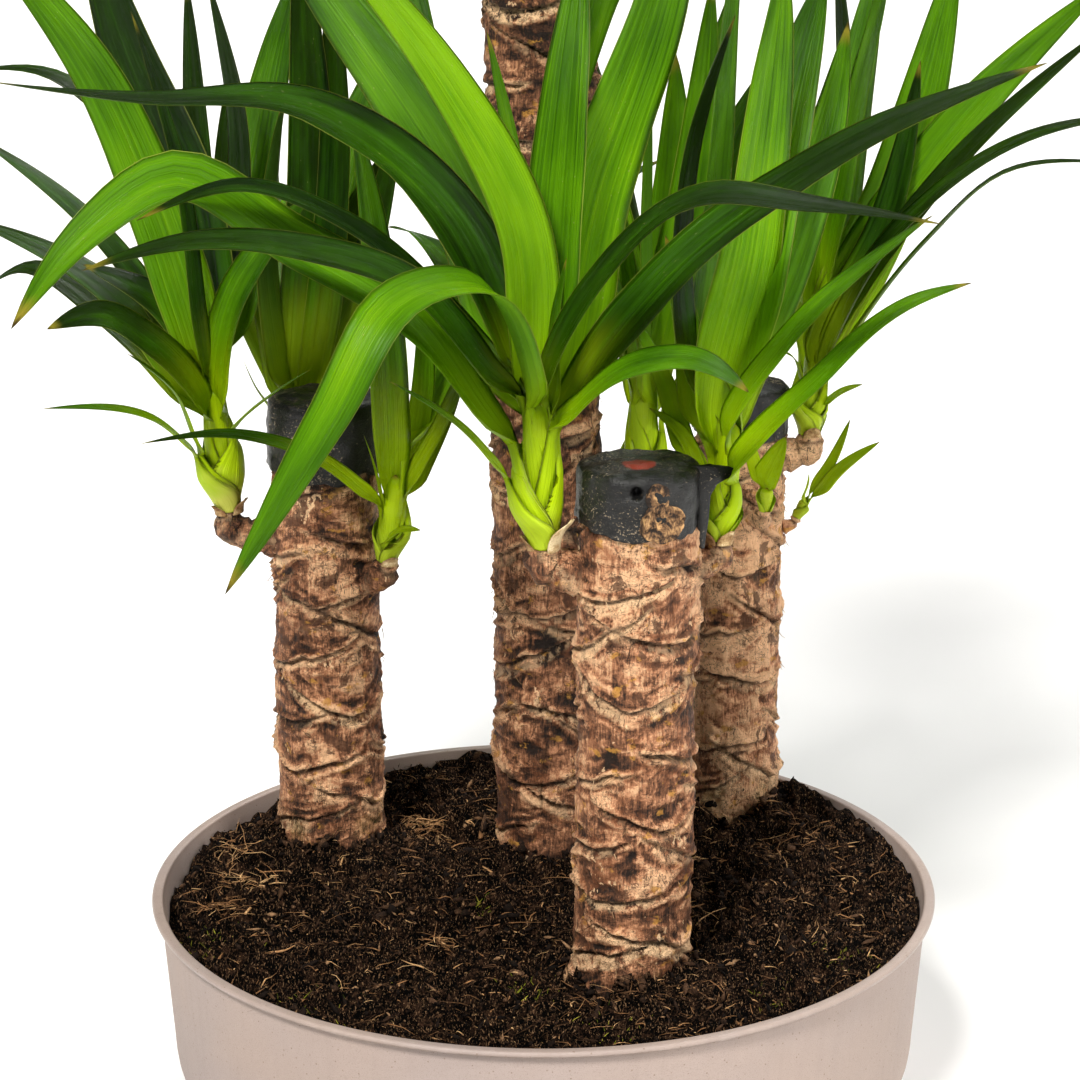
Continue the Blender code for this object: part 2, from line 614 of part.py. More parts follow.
def smooth_path(places, count):
    """Evenly spaced points on a cubic curve through the places, its tangents weighted by its chords."""
    p = np.array(places, dtype=float)
    steps = np.linalg.norm(np.diff(p, axis=0), axis=1)
    slopes = np.diff(p, axis=0) / steps[:, None]
    tangents = np.empty_like(p)
    weight = (steps[1:] / (steps[1:] + steps[:-1]))[:, None]
    tangents[1:-1] = slopes[:-1] * weight + slopes[1:] * (1 - weight)
    tangents[0] = 1.5 * slopes[0] - 0.5 * tangents[1]
    tangents[-1] = 1.5 * slopes[-1] - 0.5 * tangents[-2]
    t = np.linspace(0, 1, 12, endpoint=False)[:, None]
    pieces = []
    for i, step in enumerate(steps):
        a = (1 + 2 * t) * (1 - t) ** 2 * p[i] + t * (1 - t) ** 2 * step * tangents[i]
        b = t**2 * (3 - 2 * t) * p[i + 1] + t**2 * (t - 1) * step * tangents[i + 1]
        pieces.append(a + b)
    dense = np.vstack(pieces + [p[-1:]])
    run = np.concatenate([[0], np.cumsum(np.linalg.norm(np.diff(dense, axis=0), axis=1))])
    at = np.linspace(0, run[-1], count)
    return np.stack([np.interp(at, run, dense[:, k]) for k in range(3)], axis=1)


def turn_about(vectors, axis, degrees):
    """Turn vectors about an axis by Rodrigues' formula."""
    axis = np.asarray(axis, dtype=float) / np.linalg.norm(axis)
    angle = math.radians(degrees)
    along = (vectors @ axis)[..., None] * axis
    turned_part = vectors * math.cos(angle) + np.cross(axis, vectors) * math.sin(angle)
    return turned_part + along * (1 - math.cos(angle))


def leaf_frames(line, leaf):
    """Sideways and upward directions along a leaf's line, its face turned to the front as the leaf says."""
    along = np.gradient(line, axis=0)
    along /= np.linalg.norm(along, axis=1)[:, None]
    heading = line[-1] - line[0]
    heading[2] = 0.0
    reach = np.linalg.norm(heading)
    heading = heading / reach if reach > 1e-6 else np.array([0.0, -1.0, 0.0])
    side = np.cross([0.0, 0.0, 1.0], heading)
    up = np.cross(along, side)
    up /= np.linalg.norm(up, axis=1)[:, None]
    side = np.cross(along, up)
    sign = 1.0 if np.sum(side @ np.array([0.0, -1.0, 0.0])) >= 0 else -1.0
    turn = np.radians(np.linspace(leaf.face_root, leaf.face_tip, len(line)))[:, None] * sign
    return side * np.cos(turn) - up * np.sin(turn), up * np.cos(turn) + side * np.sin(turn)


def blade_rows(line, leaf, spread=0.0):
    """Left edge, midrib top, right edge and midrib underside of a channelled, pointed blade."""
    side, up = leaf_frames(line, leaf)
    t = np.linspace(0, 1, len(line))[:, None]
    opening = np.clip(t / OPENING_SHARE, 0, 1)
    full = ROOT_WIDTH + (1 - ROOT_WIDTH) * opening * opening * (3 - 2 * opening)
    half = 0.5 * leaf.width * MM * full * (1 - t**TIP_START) ** TIP_TAPER + spread
    lift = (ROOT_CHANNEL + (BLADE_CHANNEL - ROOT_CHANNEL) * opening) * half
    thick = BLADE_THICKNESS * (1 - 0.4 * t) + 2 * spread
    rim = line + up * lift
    return rim - side * half, line + up * spread, rim + side * half, line - up * thick


def blade_mesh(line, leaf, spread=0.0):
    """Points and triangles of one blade, split alike on both faces, ending in a point."""
    rows = np.stack(blade_rows(line, leaf, spread), axis=1)[:-1]
    points = [tuple(p) for row in rows for p in row] + [tuple(line[-1])]
    faces = []
    for k in range(len(rows) - 1):
        a, b = 4 * k, 4 * k + 4
        for edge in (0, 2):
            for rib in (1, 3):
                faces.append((a + edge, a + rib, b + rib))
                faces.append((a + edge, b + rib, b + edge))
    last = 4 * (len(rows) - 1)
    for edge in (0, 2):
        for rib in (1, 3):
            faces.append((last + edge, last + rib, len(points) - 1))
    faces.append((0, 1, 2))
    faces.append((0, 2, 3))
    return points, faces


def leaf_line(shoot, leaf):
    """The leaf's centre line in metres, from its root in the shoot's stem through its places."""
    base = np.array(shoot.base) * CM
    axis = np.array(shoot.axis, dtype=float)
    axis /= np.linalg.norm(axis)
    height = shoot.height * CM
    first = np.array(leaf.places[0]) * CM
    along = np.clip((first - base) @ axis - ROOT_RUN, ROOT_LOWEST * height, ROOT_HIGHEST * height)
    places = [base + axis * along] + [np.array(place) * CM for place in leaf.places]
    rough = sum(np.linalg.norm(b - a) for a, b in zip(places, places[1:]))
    extra = BENT_LEAF_ROWS if len(leaf.places) > BENT_LEAF_PLACES else 0
    return smooth_path(places, max(MIN_ROWS, round(rough / BLADE_SEGMENT) + 2 + extra))


def grown_leaf(shoot, index, draw):
    """A leaf of the growth rule: bearings step by the golden angle, inner leaves rise, outer ones droop."""
    share = (index + 0.5) / shoot.grown
    spread = ((index * GOLDEN_ANGLE / 360 + 0.17) % 1.0) * 2 - 1
    bearing = math.radians(shoot.bearing + spread * shoot.spread)
    length = draw.uniform(*(RULE_TOP_LENGTH if shoot.base[2] > RULE_TOP_HEIGHT else RULE_LENGTH))
    rise = RULE_RISE[0] + (RULE_RISE[1] - RULE_RISE[0]) * share
    rise += draw.uniform(-RULE_SCATTER, RULE_SCATTER)
    droop = RULE_DROOP[0] + (RULE_DROOP[1] - RULE_DROOP[0]) * share**1.5
    droop += draw.uniform(-RULE_SCATTER, RULE_SCATTER)
    place = Vector(shoot.base) + Vector(shoot.axis).normalized() * shoot.height * 0.5
    places = []
    for part in range(RULE_STEPS):
        slope = math.radians(rise - droop * ((part + 0.5) / RULE_STEPS) ** 1.4)
        step = length / CM / RULE_STEPS
        level = step * math.cos(slope)
        place = place + Vector((level * math.cos(bearing), level * math.sin(bearing), step * math.sin(slope)))
        places.append(tuple(place))
    twist_root = draw.uniform(-RULE_TWIST_ROOT, RULE_TWIST_ROOT)
    twist_tip = draw.uniform(-RULE_TWIST_TIP, RULE_TWIST_TIP)
    return Leaf(draw.uniform(*RULE_WIDTH), twist_root, twist_tip, tuple(places))


def leaves_of(shoot, draw):
    """Every leaf of a shoot, the drawn ones first."""
    drawn = [Leaf(width, root, tip, tuple(places)) for width, root, tip, *places in shoot.drawn]
    return drawn + [grown_leaf(shoot, index, draw) for index in range(shoot.grown)]


def tree_of(points, faces):
    """A search tree over a small mesh."""
    return BVHTree.FromPolygons([Vector(point) for point in points], [list(face) for face in faces])


def outer_part(line):
    """The stretch of a leaf's line beyond its crowded foot."""
    return line[max(1, int(FOOT_SHARE * len(line))):]


def outer_tree(line, leaf):
    """A search tree of a leaf's outer stretch, which its own shoot's leaves stay clear of."""
    return tree_of(*blade_mesh(outer_part(line), leaf, SIBLING_CLEARANCE))


def whole_tree(line, leaf):
    """A search tree of a whole leaf, which other shoots and canes stay clear of."""
    return tree_of(*blade_mesh(line, leaf, SHOOT_CLEARANCE))


def place_leaf(line, leaf, obstacles, siblings):
    """Tilt a leaf front or back, then up or down, by the least that clears everything else."""
    root = line[0].copy()
    out = line[-1] - root
    across = np.cross(FRONT_TO_BACK, [out[0], 0.0, out[2]])
    for swing in SWINGS:
        for nudge in NUDGES:
            moved = turn_about(line - root, across, nudge)
            moved = turn_about(moved, FRONT_TO_BACK, swing) + root
            whole = whole_tree(moved, leaf)
            if any(whole.overlap(tree) for tree in obstacles):
                continue
            outer = outer_tree(moved, leaf)
            if not any(outer.overlap(tree) for tree in siblings):
                return moved
    return None


def cane_guards():
    """Search trees of the canes with their caps, a little swollen, which leaves stay clear of."""
    guards = []
    for cane in CANES.values():
        top = cane.height * CM + CAP_CROWN + GAP
        foot_radius = cane.foot_radius * MM + CANE_SWELL
        top_radius = cane.top_radius * MM + CANE_SWELL
        rings = [cane_ring(cane, SOIL_GUARD, foot_radius), cane_ring(cane, top, top_radius)]
        guards.append(tree_of(*stacked_rings(rings)))
    return guards


def make_stem(name, shoot, green):
    """The sheathed stem of a shoot, a little swollen at its foot, which all its leaves root in."""
    base = Vector(shoot.base) * CM
    axis = Vector(shoot.axis).normalized()
    radius = shoot.radius * MM
    height = shoot.height * CM
    path = [base, base + axis * radius, base + axis * height * 0.45, base + axis * height]
    return tube(name, path, [radius * share for share in STEM_RADII], STEM_SIDES, green)


def grow_shoots(green):
    """Place every leaf clear of what is there, and fuse each shoot's leaves to its stem."""
    obstacles = cane_guards()
    draw = random.Random(RANDOM_SEED)
    for name, shoot in SHOOTS.items():
        placed = []
        siblings = []
        for leaf in leaves_of(shoot, draw):
            line = place_leaf(leaf_line(shoot, leaf), leaf, obstacles, siblings)
            if line is not None:
                placed.append((line, leaf))
                siblings.append(outer_tree(line, leaf))
        obstacles.extend(whole_tree(line, leaf) for line, leaf in placed)
        blades = [solid(f"{name}_{k}", *blade_mesh(line, leaf)) for k, (line, leaf) in enumerate(placed)]
        stem = make_stem(name, shoot, green)
        fuse(stem, blades)
        smooth_rounds(stem, 40)


def main():
    """Build the whole plant."""
    clear_scene()
    make_pot()
    make_soil()
    bark = material("bark")
    wax = material("wax")
    for name in CANES:
        make_cane(name, bark)
        make_cap(name, wax)
    grow_shoots(material("leaf"))


main()
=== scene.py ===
"""The dressed potted yucca: four cut canes with leafy shoots, in a shallow round pot of soil.

Metres, +Z up, in the CAD model's frame: the origin is the centre of the pot's flat base and the viewer looks
along +Y. As in the part's source, the places of canes and leaves are in centimetres and their radii and
widths in millimetres.
"""

import itertools
import logging
import math
import random
from dataclasses import dataclass
from enum import Enum
from typing import NamedTuple

import bpy
import numpy as np
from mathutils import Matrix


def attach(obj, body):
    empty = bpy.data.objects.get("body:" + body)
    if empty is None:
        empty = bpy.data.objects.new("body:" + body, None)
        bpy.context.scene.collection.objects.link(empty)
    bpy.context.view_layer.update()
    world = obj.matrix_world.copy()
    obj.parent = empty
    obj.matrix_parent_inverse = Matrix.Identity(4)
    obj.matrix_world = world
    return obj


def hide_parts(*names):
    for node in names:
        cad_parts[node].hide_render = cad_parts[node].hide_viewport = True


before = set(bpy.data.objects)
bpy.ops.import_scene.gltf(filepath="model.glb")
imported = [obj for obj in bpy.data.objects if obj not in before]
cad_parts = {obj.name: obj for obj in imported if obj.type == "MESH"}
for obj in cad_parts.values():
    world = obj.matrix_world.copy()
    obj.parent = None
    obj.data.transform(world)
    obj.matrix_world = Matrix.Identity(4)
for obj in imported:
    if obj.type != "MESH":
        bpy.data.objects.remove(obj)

Array = np.ndarray
Draw = np.random.Generator
Material = bpy.types.Material
Socket = bpy.types.NodeSocket
Place = tuple[float, ...]
Colour = tuple[float, float, float]

CM = 0.01
MM = 0.001
GAP = 0.0003
GOLDEN_ANGLE = 137.5
RANDOM_SEED = 7
FULL_TURN = 2 * math.pi
# A direction that no cane or leaf runs along, to set the others across it
SLANT = (0.23, 1.0, 0.11)
# Points between two places of a curved path, and along a leaf's line
PATH_STEPS = 24
LINE_POINTS = 160

# Pot
POT_DIAMETER = 0.380
POT_HEIGHT = 0.112
POT_CORNER_RADIUS = 0.040
POT_WALL = 0.0025
POT_LIP_HEIGHT = 0.006
POT_LIP_REACH = 0.0042
POT_TAPER = math.radians(4.25)

# Soil
SOIL_DROP = 0.0115
SOIL_RISE_BACK_RIGHT = 0.0055
SOIL_RISE_RUN = 0.16
SOIL_MOUND = 0.0025
SOIL_MOUND_REACH = 0.045
SOIL_LUMP = 0.0018
SOIL_LUMP_WAVES = (71.0, 83.0, 127.0)
HOLE_FLOOR = 0.050

# Bark stubs and wax caps
STUB_ELBOW = 0.85
STUB_SLOPE = 0.35
STUB_RADII = (1.0, 1.0, 0.9, 0.72)
CAP_WALL = 0.0016
CAP_WAVE = 0.0030
CAP_CROWN = 0.0042

# Leaves
ROOT_RUN = 0.026
ROOT_LOWEST = 0.18
ROOT_HIGHEST = 0.85
OPENING_SHARE = 0.3
TIP_START = 3.2
TIP_TAPER = 0.85
FRONT_TO_BACK = (0.0, 1.0, 0.0)
NUDGES = (0, 3, -3, 6, -6, 9, -9, 12, -12, 16, -16, 20, -20, 25, -25)
SWINGS = (0, 3, -3, 6, -6, 10, -10)

# The growth rule's leaf sizes
RULE_LENGTH = (0.20, 0.30)
RULE_TOP_LENGTH = (0.28, 0.40)
RULE_TOP_HEIGHT = 50
RULE_WIDTH = (26, 36)
RULE_RISE = (82, 38)
RULE_DROOP = (18, 95)
RULE_SCATTER = 6
RULE_TWIST_ROOT = 12
RULE_TWIST_TIP = 25
RULE_STEPS = 4


class Tone(Enum):
    """How bright a leaf is, from 0 to 1: in the shade of the others, or with the light through it."""

    DEEP = 0.19
    MID = 0.55
    LIT = 0.66
    PALE = 0.95


DEEP, MID, LIT, PALE = Tone

# Each drawn leaf: its width, how far its face turns to the front at its root and at its tip, its tone, then
# the places that it passes through from its root to its tip
FRONT_LEFT = (
    (30, 15, 15, LIT, (-0.5, -10.5, 38), (-2.5, -13.5, 43.5), (-6, -17, 43.5), (-8.5, -19, 39.5),
     (-13, -19.5, 32)),
    (24, 40, 20, DEEP, (-2, -10.5, 38.5), (-6, -12, 43.5), (-10, -13, 45), (-14.5, -14, 45.5),
     (-19, -15, 44.5)),
    (34, 25, 60, MID, (-2, -9.5, 36), (-6, -10.5, 41.5), (-10.5, -12, 44.5), (-15, -14.5, 47.5),
     (-18, -16.5, 45.5), (-21, -18, 41.5)),
    (20, 30, 20, DEEP, (-3, -8, 40), (-8.5, -9, 45.5), (-13, -11, 47.5), (-17, -13, 46.5)),
    (34, 62, -8, DEEP, (-1, -8, 38.5), (-4.5, -7, 46), (-10, -7, 50), (-17.5, -8, 50.5), (-24, -9, 51.5)),
    (39, 78, 78, MID, (-1, -7, 37.5), (-3, -4.5, 44.5), (-9.5, 0, 54), (-14, 3, 59)),
    (29, 75, 55, PALE, (-0.5, -8.5, 36.5), (-1, -9.5, 45.5), (-4, -10.5, 51.5), (-10.5, -11, 59.5)),
    (12, 45, 45, LIT, (-0.5, -6, 38.5), (-1.5, -4.5, 48.5), (-2.5, -4, 53)),
    (43, 82, 80, LIT, (0.5, -7.5, 37), (2, -5.5, 45.5), (5, -3.5, 54), (7, -1.5, 62)),
    (10, 60, 60, MID, (0.5, -9, 37.5), (0.5, -9.5, 41), (1, -9.5, 44)),
    (20, 60, 15, DEEP, (0, -10, 38), (2, -12, 43), (6.5, -14.5, 47.5), (11, -16.5, 47.5), (16, -18, 47)),
    (29, 42, 25, DEEP, (1, -8, 36.5), (5, -8.5, 42.5), (12.5, -9.5, 48.5), (21, -11, 52.5)),
    (23, 38, 30, MID, (1, -10.5, 37), (4, -12.5, 40), (6.5, -14, 40.5), (8.5, -15.5, 39.5)),
    (14, 35, 20, MID, (-1.5, -9.5, 34), (-4, -12, 37.5), (-6.5, -13.5, 39.5)),
    (26, 60, 60, DEEP, (0, -5, 36.5), (1.5, 0, 44), (1, 3, 50.5)),
)
FRONT_RIGHT = (
    (41, 85, 80, LIT, (7.5, -6, 35), (9, -5, 43.5), (10, -4, 51), (10.5, -3.5, 56.5)),
    (22, 42, 32, MID, (8, -7, 35), (10.5, -8.5, 40), (16.5, -10.5, 46)),
    (26, 38, 28, LIT, (8, -7.5, 33), (12, -10.5, 39), (15.5, -12, 42.5), (18, -12.5, 43.5)),
    (12, 30, 30, LIT, (6.5, -5, 34), (5.5, -4, 37), (4, -2, 40)),
    (16, 40, 40, MID, (7, -5, 35.5), (6.5, -3.5, 39.5), (5.5, -2, 43.5)),
    (11, 30, 30, LIT, (7, -6.5, 33), (6, -7, 35), (4.5, -7.5, 36)),
    (31, 50, 50, MID, (8, -4.5, 35), (11, -1.5, 42.5), (13, 1, 48), (14, 3, 52.5)),
    (29, 65, 65, MID, (7, -4, 35), (7.5, -2, 43), (8.5, 0.5, 53.5), (9, 2, 58.5)),
    (20, 60, 60, DEEP, (7, -5, 36.5), (6.5, -3.5, 47.5), (8.5, -2.5, 53.5)),
)
BACK_MIDDLE = (
    (26, 60, 60, MID, (4.5, 6.5, 33.5), (3.5, 5, 42.5), (1.5, 4, 49)),
    (24, 70, 70, LIT, (5, 5.5, 34), (5, 5, 44), (5, 5, 53)),
    (24, 60, 60, MID, (5, 6, 34), (7, 6.5, 43.5), (8, 7.5, 54)),
    (24, 50, 50, DEEP, (5, 9, 33), (3.5, 13.5, 43.5), (1, 15, 53)),
    (24, 50, 50, DEEP, (5, 8, 32.5), (7.5, 13, 42.5), (9, 17, 49.5)),
    (14, 40, 40, MID, (4.5, 5.5, 34), (4, 3.5, 38), (3, 2, 42)),
    (16, 40, 40, MID, (5.5, 6, 32.5), (7, 5, 36), (8, 3, 39.5)),
    (26, 60, 60, LIT, (5.4, 6.4, 37), (6.2, 6, 44), (6.3, 5.5, 50.5)),
    (24, 55, 55, MID, (5.2, 7.5, 37), (7.5, 9, 46), (9.5, 11, 54)),
    (22, 50, 50, LIT, (4.6, 6, 37), (3.4, 4.5, 41), (2.4, 3, 46)),
)
LEFT_OUTER = (
    (12, 20, 10, MID, (-16.5, 7, 30), (-19, 5.5, 33), (-24, 3.5, 34)),
    (28, 42, 48, DEEP, (-16.5, 7, 33), (-19, 5, 37), (-21, 4, 38.5), (-23.5, 3, 38)),
    (16, 25, 25, MID, (-17, 6.5, 31.5), (-18, 5.5, 34.5), (-20, 4.5, 36.5)),
    (22, 45, 45, DEEP, (-16.5, 8, 34.5), (-18.5, 8, 38), (-22.5, 8.5, 40)),
    (31, 74, 74, LIT, (-16.5, 8, 34), (-18.5, 8, 42), (-21.5, 8, 49.5), (-27, 8, 56.5)),
    (44, 82, 82, DEEP, (-16.5, 9, 33), (-17.5, 10, 43), (-20.5, 11, 51), (-22.5, 12, 57.5)),
    (14, 50, 50, DEEP, (-16.5, 7.5, 34.5), (-17.5, 7, 45), (-19.5, 7, 52.5)),
    (32, 60, 60, MID, (-16, 7.5, 33), (-15, 6.5, 38.5), (-11, 5.5, 44)),
    (22, 50, 50, DEEP, (-16.5, 10, 34), (-17, 12, 43.5), (-17.5, 13, 53.5)),
    (20, 45, 45, DEEP, (-16, 10, 34), (-15, 12, 46), (-16.5, 13, 53.5)),
    (10, 25, 20, LIT, (-15, 6, 32.5), (-13, 4.5, 34.5), (-11, 3.5, 36)),
    (20, 30, 30, DEEP, (-17.5, 9, 33), (-21.5, 11, 38), (-29, 13, 41.5)),
    (20, 30, 30, DEEP, (-17.5, 10, 32.5), (-22, 13, 36.5), (-26.5, 15, 38.5), (-29, 16, 37)),
    (16, 25, 25, DEEP, (-17, 9, 33.5), (-21.5, 11, 40.5), (-28.5, 14, 45.5)),
    (16, 25, 25, DEEP, (-17, 10, 34.5), (-21, 13, 46), (-24.5, 14, 48.5), (-29, 15, 48.5)),
)
LEFT_INNER = (
    (9, 30, 30, LIT, (-7.6, 5.2, 27), (-7, 5, 27.5), (-6, 5, 27.5)),
    (13, 35, 10, DEEP, (-8.5, 5, 29), (-10.5, 4.5, 31), (-14.5, 4.2, 32.5), (-19.5, 4.5, 32)),
    (6, 40, 40, MID, (-8, 6, 29), (-8.3, 5, 31), (-8.7, 4.5, 32.5)),
    (29, 85, 85, MID, (-7.6, 6.6, 29), (-7.6, 6.5, 34.5), (-8, 7.5, 41), (-9, 8.5, 48)),
    (14, 40, 40, MID, (-7, 7.5, 28.5), (-6, 8.5, 33.5), (-6, 10, 39.5)),
    (16, 45, 45, DEEP, (-7, 6.5, 28.5), (-5, 6, 32.5), (-2.5, 4.5, 39)),
    (18, 45, 45, DEEP, (-7.2, 8, 28), (-5, 11, 32.5), (-3.5, 13, 36.5)),
    (20, 60, 60, MID, (-7.4, 8, 28.5), (-7.5, 10, 37), (-9.5, 11, 46.5)),
)
LEFT_BACK = (
    (20, 50, 50, DEEP, (-13, 12.4, 31.5), (-14, 12, 37.5), (-15, 12.5, 42)),
    (25, 78, 78, MID, (-12.8, 12, 32), (-13.5, 11, 41.5), (-14, 11.5, 49.5), (-13, 12.5, 55.5)),
    (28, 82, 82, DEEP, (-12.5, 12.2, 32), (-11.5, 12, 43), (-12, 12.5, 56.5)),
    (20, 60, 60, DEEP, (-12, 12, 32), (-10.5, 11.5, 41.5), (-10.5, 13, 56)),
    (20, 55, 55, DEEP, (-12, 12.5, 31.5), (-9, 12, 39), (-7, 13, 47.5)),
    (20, 40, 40, DEEP, (-13, 13.5, 31.5), (-16, 17, 38.5), (-16, 19, 48.5)),
    (9, 30, 30, DEEP, (-13.5, 11.5, 31.5), (-14.5, 10.5, 33.5), (-15, 10, 35)),
    (24, 60, 60, DEEP, (-12.4, 11.8, 33), (-10.5, 10.5, 39), (-7.5, 9.5, 45)),
    (24, 60, 60, DEEP, (-13, 11.8, 33), (-13.6, 10.6, 40), (-12.6, 10, 48)),
)
RIGHT = (
    (8, 30, 30, LIT, (14, 11.5, 32), (15, 11, 33), (16, 10.5, 33.5)),
    (34, 74, 74, LIT, (13.6, 11.5, 34), (14.5, 12, 42), (17, 13.5, 55.5)),
    (24, 65, 65, DEEP, (13.5, 12.5, 34), (15, 13.5, 42.5), (14.5, 14, 56)),
    (34, 78, 78, LIT, (13.8, 12, 34), (17.5, 13, 43), (20.5, 14.5, 55)),
    (28, 64, 64, LIT, (13.8, 11.5, 34), (19, 11.5, 44.5), (27.5, 11.5, 53.5)),
    (18, 40, 40, DEEP, (13.8, 10.8, 34), (19, 9.5, 43.5), (27, 9, 51.5)),
    (20, 35, 20, DEEP, (13.8, 10.8, 33.5), (18, 9, 42.5), (23, 8, 46.5), (28.5, 7, 48)),
    (16, 20, 5, DEEP, (14, 10, 33.5), (18.5, 7, 41.5), (22, 6, 45), (27.5, 5, 45.5)),
    (20, 45, 45, MID, (13.8, 11, 33.5), (15.5, 10.5, 38), (20, 9, 43.5)),
    (20, 60, 60, DEEP, (13.6, 11, 34), (17, 11, 42), (18.5, 12, 49.5)),
    (7, 30, 30, LIT, (13, 11, 33.5), (12.4, 10.2, 35), (11.4, 9.5, 35.5)),
    (22, 50, 50, DEEP, (13.4, 13, 33), (13, 16, 39), (14, 20, 49)),
)
RIGHT_FRONT_SHOOT = (
    (18, 80, 80, MID, (11, 8.3, 28.8), (11.4, 8, 30), (12, 7.8, 31.5)),
    (9, 50, 50, PALE, (10.8, 8.5, 29), (10.4, 8.5, 30.2), (10.2, 8.4, 31.8)),
)
RIGHT_SIDE_SHOOT = (
    (7, 60, 60, LIT, (13.4, 11.4, 27.3), (14.5, 11.4, 29), (15.5, 11.3, 31.5)),
    (8, 60, 60, LIT, (13.5, 11.2, 27), (15, 11, 29), (17, 11, 30.5)),
    (5, 40, 40, MID, (13.2, 11.2, 27.4), (13.4, 10.8, 28.2), (13.4, 10.4, 28.9)),
)
TOP_LEFT = (
    (28, 40, 80, MID, (-5, 5.5, 64), (-6.8, 3.5, 60), (-5.6, 3, 53), (-3.8, 3.2, 48)),
)
TOP_RIGHT = (
    (30, 40, 80, MID, (4, 5.5, 65.5), (5.2, 3, 60.5), (2.6, 2.2, 53.5), (1.6, 2.6, 48)),
)


class Shoot(NamedTuple):
    """A leafy shoot: places and lengths in cm, its stem's radius in mm, bearings in degrees from +X."""

    cane: str
    base: Place
    axis: Place
    radius: float
    height: float
    drawn: tuple
    grown: int = 0
    bearing: float = 0
    spread: float = 0


class Leaf(NamedTuple):
    """A leaf: width in mm, degrees that its face turns to the front at its root and tip, places in cm."""

    width: float
    face_root: float
    face_tip: float
    tone: float
    places: tuple


# Cane, base, stem axis, stem radius and height, drawn leaves, then how many leaves the growth rule adds, the
# middle of their bearings and half their spread
SHOOTS = {
    "crown_front_left": Shoot("front", (0.0, -8.5, 30.8), (-0.05, -0.1, 1), 9.5, 7.0, FRONT_LEFT, 2, 110, 40),
    "crown_front_right": Shoot("front", (7.9, -6.2, 30.4), (0.1, 0.0, 1), 8.0, 5.5, FRONT_RIGHT, 2, 75, 20),
    "crown_back_middle": Shoot("tall", (4.9, 6.6, 28.0), (0.0, -0.05, 1), 9.5, 9.0, BACK_MIDDLE, 2, 85, 50),
    "crown_left_outer": Shoot("left", (-15.7, 8.3, 27.6), (-0.1, 0.0, 1), 9.0, 6.5, LEFT_OUTER, 2, 105, 45),
    "crown_left_inner": Shoot("left", (-7.8, 6.5, 25.5), (0.12, -0.05, 1), 7.5, 4.5, LEFT_INNER, 1, 60, 20),
    "crown_left_back": Shoot("left", (-12.8, 12.4, 28.4), (0.0, 0.05, 1), 8.0, 4.5, LEFT_BACK, 2, 95, 50),
    "crown_right": Shoot("right", (13.5, 11.8, 30.6), (0.05, 0.0, 1), 8.0, 5.0, RIGHT, 2, 90, 35),
    "shoot_right_front": Shoot("right", (11.1, 8.5, 27.5), (0.05, -0.1, 1), 4.5, 1.2, RIGHT_FRONT_SHOOT),
    "shoot_right_side": Shoot("right", (12.9, 11.5, 26.3), (0.5, 0.0, 1), 3.5, 1.0, RIGHT_SIDE_SHOOT),
    "crown_top_right": Shoot("tall", (3.6, 7.2, 61.0), (0.25, -0.1, 1), 9.0, 6.0, TOP_RIGHT, 10, -10, 120),
    "crown_top_left": Shoot("tall", (-4.2, 7.0, 59.0), (-0.25, -0.1, 1), 9.0, 6.0, TOP_LEFT, 10, 200, 115),
    "crown_top_back": Shoot("tall", (-0.2, 12.3, 60.0), (0.0, 0.25, 1), 9.0, 6.0, (), 8, 90, 80),
}

# How pale the feet of the palest shoots are
PALE_FEET = {"crown_left_outer": 0.95, "crown_back_middle": 0.75}


# Numbers


def smooth(share: Array) -> Array:
    """Ease a share from 0 to 1: three squares less two cubes, held at both ends."""
    held = np.clip(share, 0.0, 1.0)
    return held * held * (3.0 - 2.0 * held)


def bell(apart: Array, width: float) -> Array:
    """1 in the middle, falling as e to the less square of the distance over the width."""
    return np.exp(-((apart / width) ** 2))


def cell_values(cells: Array, seed: int) -> Array:
    """A fixed value from 0 to 1 for each cell: its three whole numbers times large primes, mixed by shifts.

    Args:
        cells: Whole numbers, three to a point.
        seed: Picks another set of values.

    Returns:
        One value for each point.
    """
    mixed = cells[..., 0] * 374761393 + cells[..., 1] * 668265263 + cells[..., 2] * 1274126177
    mixed = (mixed + seed * 974634777) & 0xFFFFFFFF
    mixed = ((mixed ^ (mixed >> 13)) * 1103515245) & 0xFFFFFFFF
    mixed = ((mixed ^ (mixed >> 15)) * 747796405) & 0xFFFFFFFF
    return ((mixed ^ (mixed >> 16)) & 0xFFFFFF) / 0xFFFFFF


def noise(points: Array, size: float | Place, seed: int = 0) -> Array:
    """Smooth noise from -1 to 1: the values of the eight cell corners round a point, blended by smoothstep.

    Args:
        points: Places, three numbers each.
        size: The size of a cell, or its three sides.
        seed: Picks another noise.

    Returns:
        One value for each point.
    """
    scaled = points / np.asarray(size)
    low = np.floor(scaled).astype(np.int64)
    share = smooth(scaled - low)
    total = np.zeros(points.shape[:-1])
    for corner in itertools.product((0, 1), repeat=3):
        weight = np.prod(np.where(corner, share, 1.0 - share), axis=-1)
        total += weight * cell_values(low + np.array(corner), seed)
    return 2.0 * total - 1.0


def layered(points: Array, size: float | Place, layers: int, seed: int = 0) -> Array:
    """Rough noise: layers of noise, each half the size and half the height of the one before."""
    size = np.asarray(size, dtype=float)
    return sum(noise(points, size / 2**k, seed + 31 * k) / 2**k for k in range(layers))


def stacked(*parts: Array | float) -> Array:
    """Numbers spread to one shape and set side by side on a new last axis."""
    return np.stack(np.broadcast_arrays(*parts), axis=-1)


def round_turns(count: int) -> Array:
    """Angles once round in even steps."""
    return FULL_TURN * np.arange(count) / count


def around(radius: Array | float, turn: Array, height: Array | float) -> Array:
    """Points at a radius and an angle round Z, at a height."""
    return stacked(radius * np.cos(turn), radius * np.sin(turn), height)


